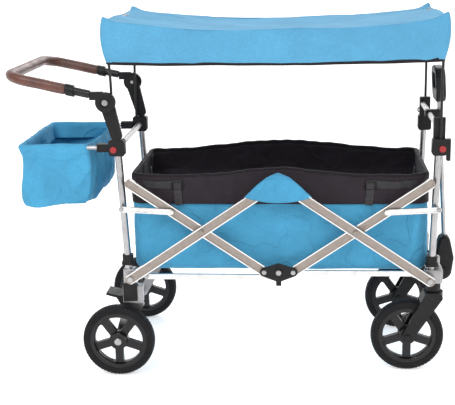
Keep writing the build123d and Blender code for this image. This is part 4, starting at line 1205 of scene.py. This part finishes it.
class WAGON_OT_storage_bag(bpy.types.Operator):
    """Loft the storage bag and sew its sleeve round the frame tube"""

    bl_idname = "wagon.storage_bag"
    bl_label = "Storage bag"

    def execute(self, context):
        s = sizes()
        stations = np.array([
            [0.000, 0.518, -0.318, -0.146, 0.184], [0.050, 0.521, -0.333, -0.130, 0.191],
            [0.120, 0.540, -0.339, -0.121, 0.194], [0.220, 0.575, -0.338, -0.117, 0.195],
            [0.330, 0.608, -0.335, -0.115, 0.196], [0.450, 0.640, -0.332, -0.115, 0.199],
            [0.560, 0.672, -0.332, -0.118, 0.203], [0.640, 0.692, -0.336, -0.121, 0.211],
            [0.690, 0.704, -0.339, -0.122, 0.2145], [0.730, 0.711, -0.336, -0.123, 0.211],
            [0.765, 0.7135, -0.331, -0.125, 0.205], [0.800, 0.711, -0.325, -0.127, 0.199],
            [0.850, 0.700, -0.321, -0.129, 0.195], [1.000, 0.664, -0.322, -0.129, 0.193],
        ])
        columns, lines, seam_row = 60, 92, 25
        way, step, faces, last = net(even(columns, 0.02), even(lines, 0.02), np.linspace(0, 1, 49)[1:])
        climb = np.clip(step - 1, 0, 1)
        z, back, ahead, half_y = (np.interp(climb, stations[:, 0], stations[:, k]) for k in (1, 2, 3, 4))
        half_x = (ahead - back) / 2
        plan = rounded(way, half_x, half_y, 0.014) * np.clip(step, 0, 1)[:, None]
        x = POST_X + (ahead + back) / 2 + plan[:, 0]
        belly = 0.012 * (1 - np.clip(step, 0, 1) ** 3)
        to_front = np.clip(plan[:, 0] / half_x, 0, 1)
        sag = 0.012 * np.cos(np.clip(plan[:, 1] / 0.20, -1, 1) * math.pi / 2)
        sag = sag * np.clip((climb - 0.5) / 0.2, 0, 1)
        sag = sag * (0.35 + 0.65 * to_front) * (np.abs(way[:, 0]) > 0.999) * (0.2 + 0.8 * to_front)
        slope = 0.004 * np.clip((plan[:, 0] + 0.02) / 0.10, 0, 1) * (step <= 1)
        z = z - belly * (step <= 1) * 0.6 - sag + slope * np.clip(step, 0, 1)
        points = np.stack([x, plan[:, 1], z], -1)
        faces = face_outwards(points, faces, (POST_X - 0.22, 0, 0.60))
        bag = mesh_of("storage_bag_cloth", points, faces, finish_of("blue cloth"))
        press(bag, lambda p: LOOSE_FOLDS * self.folds(p))
        thicken(bag, 0.0018)
        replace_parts(bag, "bag_pouch")
        settle(bag, "bag")
        rows = points_of(bag.data)[columns * lines:].reshape(-1, len(last), 3)
        line = rows[seam_row]
        centre = line.mean(0)
        out = line - centre
        out[:, 2] = 0
        out /= np.linalg.norm(out, axis=1, keepdims=True)
        thread = finish_of("blue thread")
        line = line + out * 0.0006
        seam = stitches("storage_bag_stitches", line, (0, 0, 1), thread, s.stitch_pitch, closed=True)
        settle(seam, "bag")
        top_edge = resample(rows[-1], 0.008, True)
        edge_section = oval(0.0028, 0.006, 8)
        hem = carried("storage_bag_lining_edge", top_edge, edge_section, finish_of("blue cloth"), True)
        settle(hem, "bag")
        return {"FINISHED"}

    def folds(self, p):
        """Slack folds: long drag lines from the frame's corners, and vertical pleats in the wall
        that faces the wagon."""
        body = np.clip((0.70 - p[:, 2]) / 0.03, 0, 1)
        out = lumps(p, 0.17, 0.005, 61) + lumps(p, 0.06, 0.0016, 62)
        for side in ENDS:
            y = side * 0.197
            lines = (
                ((POST_X - 0.33, y, 0.69), (POST_X - 0.20, y, 0.58), 0.014, 0.004),
                ((POST_X - 0.31, y, 0.60), (POST_X - 0.18, y, 0.535), 0.013, 0.004),
                ((POST_X - 0.13, y, 0.68), (POST_X - 0.22, y, 0.63), 0.012, -0.004),
                ((POST_X - 0.125, y, 0.64), (POST_X - 0.18, y, 0.56), 0.012, 0.006),
                ((POST_X - 0.13, y, 0.56), (POST_X - 0.24, y, 0.55), 0.010, -0.004),
                ((POST_X - 0.30, y, 0.65), (POST_X - 0.19, y, 0.655), 0.012, 0.003),
            )
            out += creases(p, lines)
        pleats = (
            (-0.15, 0.006), (-0.10, -0.005), (-0.055, 0.005), (0.01, -0.005),
            (0.06, 0.006), (0.12, -0.005), (0.16, 0.004),
        )
        for y, depth in pleats:
            out += crease(p, (POST_X - 0.122, y, 0.69), (POST_X - 0.118, y * 1.1, 0.55), 0.013, depth * 1.4)
            out += crease(p, (POST_X - 0.335, y, 0.69), (POST_X - 0.335, y * 1.1, 0.56), 0.013, depth * 0.8)
        return out * (0.25 + 0.75 * body)


class WAGON_OT_leather_grip(bpy.types.Operator):
    """Wrap the push bar in leather and lace its seam"""

    bl_idname = "wagon.leather_grip"
    bl_label = "Leather grip"

    def execute(self, context):
        s = sizes()
        low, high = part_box("leather_grip")
        radius = 0.016
        back = low.x + radius
        side_y = high.y - radius
        top = high.z - radius
        start_z = top - GRIP_RISE * (high.x - back)
        corners = [
            (high.x, -side_y, start_z), (back, -side_y, top),
            (back, side_y, top), (high.x, side_y, start_z),
        ]
        corner_radius, pace = 0.062, 0.0035
        line = resample(rounded_path(corners, [corner_radius] * 2, 16), pace)
        turn = np.linspace(0, 2 * math.pi, 40, endpoint=False)
        arc = np.linspace(0, 1, len(line))[:, None]
        seam_at = math.radians(150)
        away = np.angle(np.exp(1j * (turn - seam_at)))[None]
        groove = 0.0011 * np.exp(-((away / 0.07) ** 2))
        lips = 0.0006 * np.exp(-(((np.abs(away) - 0.2) / 0.12) ** 2))
        reach = s.leather_radius - groove + lips
        total = len(line) * pace
        gathers = 0.00025 * np.sin(arc * total * 420 + 2 * np.sin(turn * 3))
        reach = reach + gathers * np.clip(1 - np.abs(away) / 2, 0, 1)
        reach = reach + 0.00035 * np.sin(arc * total * 63 + turn * 2) * np.sin(turn + arc * 9)
        tip = np.minimum(np.arange(len(line)), np.arange(len(line))[::-1])[:, None] * pace
        reach = reach - 0.0022 * np.exp(-tip / 0.003)
        profile = np.stack([reach * np.cos(turn), reach * np.sin(turn)], -1)
        grip = carried("leather_grip_wrap", line, profile, finish_of("leather"))
        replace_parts(grip, "leather_grip")
        settle(grip, "push_handle")
        _, side, up = frames(line, False)
        for sign, word in ((-1, "inner"), (1, "outer")):
            angle = seam_at + sign * 0.22
            ridge = line + side * math.cos(angle) * s.leather_radius + up * math.sin(angle) * s.leather_radius
            lace = stitches(f"leather_{word}_stitches", ridge[4:-4], (0, 0, 1), finish_of("brown thread"),
                            0.0065, 0.0052, 0.0013, slant=0.5 * sign)
            settle(lace, "push_handle")
        return {"FINISHED"}


class WAGON_OT_tyres(bpy.types.Operator):
    """Turn the four ringed tyres"""

    bl_idname = "wagon.tyres"
    bl_label = "Tyres"

    def execute(self, context):
        for body in ("front_near_wheel", "front_far_wheel", "rear_near_wheel", "rear_far_wheel"):
            node = body.replace("_wheel", "_tyre")
            low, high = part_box(node)
            settle(self.tyre(node, low, high), body)
        return {"FINISHED"}

    def tyre(self, node, low, high):
        """A section turned about the axle: radius and side place of each section point, with the
        tread's shoulder notched by a steep sine of the angle."""
        centre = (low + high) / 2
        radius = (high.z - low.z) / 2
        half = (high.y - low.y) / 2
        section = np.array([
            [0.0880, 0.80], [0.0905, 0.97], [0.0935, 1.0], [0.0950, 1.0], [0.0957, 0.955], [0.0968, 0.955],
            [0.0976, 1.0], [0.0990, 1.0], [0.0997, 0.955], [0.1008, 0.955], [0.1016, 0.985], [0.1045, 0.93],
            [0.1075, 0.82], [0.1096, 0.66], [0.1106, 0.48], [0.1108, 0.34], [0.1094, 0.31], [0.1094, 0.25],
            [0.1108, 0.22], [0.1110, 0.08],
        ])
        section[:, 0] *= radius / section[-1, 0]
        across = np.concatenate([section, section[::-1] * [1, -1]])
        steps = 360
        turn = np.linspace(0, 2 * math.pi, steps, endpoint=False)[:, None]
        lugs = 1 / (1 + np.exp(-14 * (np.sin(turn * 60) - 0.35)))
        shoulder = np.exp(-(((np.abs(across[:, 1]) - 0.66) / 0.17) ** 2)) * (across[:, 0] > 0.100)
        reach = across[None, :, 0] - 0.0013 * lugs * shoulder[None]
        points = np.stack([
            centre.x + reach * np.cos(turn),
            centre.y + half * across[None, :, 1] + 0 * turn,
            centre.z + reach * np.sin(turn),
        ], -1)
        faces = grid_faces(steps, len(across), True, True)
        ring = [centre.x + 0.1 * np.cos(turn), centre.y + 0 * turn, centre.z + 0.1 * np.sin(turn)]
        middle = np.repeat(np.stack(ring, -1).reshape(-1, 3), len(across), 0)
        faces = face_outwards(points.reshape(-1, 3), faces, middle)
        piece = mesh_of(node.replace("_tyre", "_ringed_tyre"), points, faces, finish_of("tyre rubber"))
        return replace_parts(piece, node)


class WAGON_OT_stage(bpy.types.Operator):
    """Set the floor, the lights and the camera"""

    bl_idname = "wagon.stage"
    bl_label = "Studio"

    def execute(self, context):
        studio = context.scene.wagon_studio
        self.floor()
        world = bpy.data.worlds.new("white room")
        world.use_nodes = True
        background = next(n for n in world.node_tree.nodes if n.type == "BACKGROUND")
        background.inputs["Color"].default_value = (1, 1, 1, 1)
        background.inputs["Strength"].default_value = studio.sky
        self.room(world.node_tree, background)
        context.scene.world = world
        self.light("key softbox", (-1.4, -2.6, 3.2), studio.key, 2.4)
        self.light("fill softbox", (2.8, -2.2, 1.6), studio.key * 0.34, 2.2)
        self.light("back softbox", (0.4, 2.8, 2.8), studio.key * 0.6, 2.4)
        self.camera(studio)
        context.scene.view_settings.view_transform = "Standard"
        return {"FINISHED"}

    def room(self, tree, background):
        """The room's tone by height: dark below and at eye level, white overhead."""
        place = tree.nodes.new("ShaderNodeTexCoord")
        split = tree.nodes.new("ShaderNodeSeparateXYZ")
        tree.links.new(place.outputs["Generated"], split.inputs[0])
        ramp = tree.nodes.new("ShaderNodeValToRGB")
        tree.links.new(split.outputs["Z"], ramp.inputs["Fac"])
        tones = ((0.0, 0.55), (0.10, 0.30), (0.32, 0.95), (1.0, 1.25))
        stops = ramp.color_ramp.elements
        while len(stops) < len(tones):
            stops.new(0.5)
        for stop, (at, tone) in zip(stops, tones):
            stop.position = at
            stop.color = (tone, tone, tone, 1)
        tree.links.new(ramp.outputs[0], background.inputs["Color"])

    def floor(self):
        """A sheet of card: level in front, then a quarter round, then upright far behind."""
        bend = np.linspace(0, math.pi / 2, 20)
        y = np.concatenate([[-30.0], 5 + 2 * np.sin(bend), [7.0]])
        z = np.concatenate([[0.0], 2 * (1 - np.cos(bend)), [7.0]])
        x = np.linspace(-24, 24, 12)
        x, y = np.meshgrid(x, y, indexing="ij")
        points = np.stack([x, y, np.broadcast_to(z - 0.0005, x.shape)], -1)
        faces = face_outwards(points.reshape(-1, 3), grid_faces(*x.shape), (0, 0, -50))
        n = Nodes("studio card")
        n.colour(n.mix(n.range(n.noise(3, 2), 0.3, 0.7, 0, 1), (0.93, 0.93, 0.93), (0.96, 0.96, 0.96)))
        n.roughness(n.range(n.noise(40, 2), 0.3, 0.7, 0.6, 0.75))
        n.fixed(Emission_Color=(1, 1, 1, 1), Emission_Strength=0.46)
        mesh_of("studio_floor", points, faces, n.material)

    def light(self, name, place, power, size):
        """A square softbox that looks at the middle of the wagon."""
        lamp = bpy.data.lights.new(name, "AREA")
        lamp.energy = power
        lamp.size = size
        holder = bpy.data.objects.new(name, lamp)
        holder.location = place
        holder.rotation_euler = (Vector((MID_X, 0, 0.5)) - Vector(place)).to_track_quat("-Z", "Y").to_euler()
        bpy.context.scene.collection.objects.link(holder)

    def camera(self, studio):
        """The camera's axes: ahead from its turn and fall, then its right and top rolled about it."""
        turn, fall, roll = studio.camera_turn, studio.camera_fall, studio.camera_roll
        ahead = Vector((math.sin(turn) * math.cos(fall), math.cos(turn) * math.cos(fall), -math.sin(fall)))
        right = Vector((math.cos(turn), -math.sin(turn), 0))
        top = right.cross(ahead)
        rolled_right = right * math.cos(roll) + top * math.sin(roll)
        rolled_top = top * math.cos(roll) - right * math.sin(roll)
        lens = bpy.data.cameras.new("camera")
        lens.angle = studio.lens_angle
        lens.clip_end = 60
        eye = bpy.data.objects.new("camera", lens)
        axes = Matrix((rolled_right, rolled_top, -ahead)).transposed()
        eye.matrix_world = Matrix.Translation(Vector(studio.camera_place)) @ axes.to_4x4()
        bpy.context.scene.collection.objects.link(eye)
        bpy.context.scene.camera = eye


class WAGON_PT_sidebar(bpy.types.Panel):
    """The wagon's pieces and settings"""

    bl_idname = "WAGON_PT_sidebar"
    bl_label = "Pull wagon"
    bl_space_type = "VIEW_3D"
    bl_region_type = "UI"
    bl_category = "Wagon"

    def draw(self, context):
        for group in (context.scene.wagon_sizes, context.scene.wagon_colours, context.scene.wagon_studio):
            box = self.layout.box()
            for name in group.__annotations__:
                box.prop(group, name)
        for operator in OPERATORS:
            self.layout.operator(operator.bl_idname)


NODE_SLOTS = {part["node"]: part["material_slot"] for part in frame["record"]["subparts"]}
SIDE_HALF = FRONT_X + 0.006 - MID_X
BAR_HALF_FACE = 0.0112
BAR_RUNS = {
    f"{end}_{layer}_bars": (
        (MID_X + way * (SIDE_HALF if layer == "outer" else BRACKET_HALF), foot_z),
        (MID_X + way * (BRACKET_HALF if layer == "outer" else SIDE_HALF - 0.0066), head_z),
    )
    for end, way in (("rear", -1), ("front", 1))
    for layer, foot_z, head_z in (("outer", 0.305, 0.5792), ("inner", 0.3283, 0.598))
}
OPERATORS = (
    WAGON_OT_finishes, WAGON_OT_canopy, WAGON_OT_basket, WAGON_OT_floor_mat, WAGON_OT_harnesses,
    WAGON_OT_side_flaps, WAGON_OT_storage_bag, WAGON_OT_leather_grip, WAGON_OT_tyres, WAGON_OT_stage,
)
CLASSES = (WagonSizes, WagonColours, WagonStudio, *OPERATORS, WAGON_PT_sidebar)


def register():
    """Adds the classes and the settings."""
    for item in CLASSES:
        bpy.utils.register_class(item)
    bpy.types.Scene.wagon_sizes = bpy.props.PointerProperty(type=WagonSizes)
    bpy.types.Scene.wagon_colours = bpy.props.PointerProperty(type=WagonColours)
    bpy.types.Scene.wagon_studio = bpy.props.PointerProperty(type=WagonStudio)


def unregister():
    """Takes the settings and the classes away."""
    del bpy.types.Scene.wagon_studio, bpy.types.Scene.wagon_colours, bpy.types.Scene.wagon_sizes
    for item in reversed(CLASSES):
        bpy.utils.unregister_class(item)


def main():
    """Builds every piece in order."""
    register()
    bpy.ops.wagon.finishes()
    bpy.ops.wagon.canopy()
    bpy.ops.wagon.basket()
    bpy.ops.wagon.floor_mat()
    bpy.ops.wagon.harnesses()
    bpy.ops.wagon.side_flaps()
    bpy.ops.wagon.storage_bag()
    bpy.ops.wagon.leather_grip()
    bpy.ops.wagon.tyres()
    bpy.ops.wagon.stage()


if __name__ == "__main__":
    main()
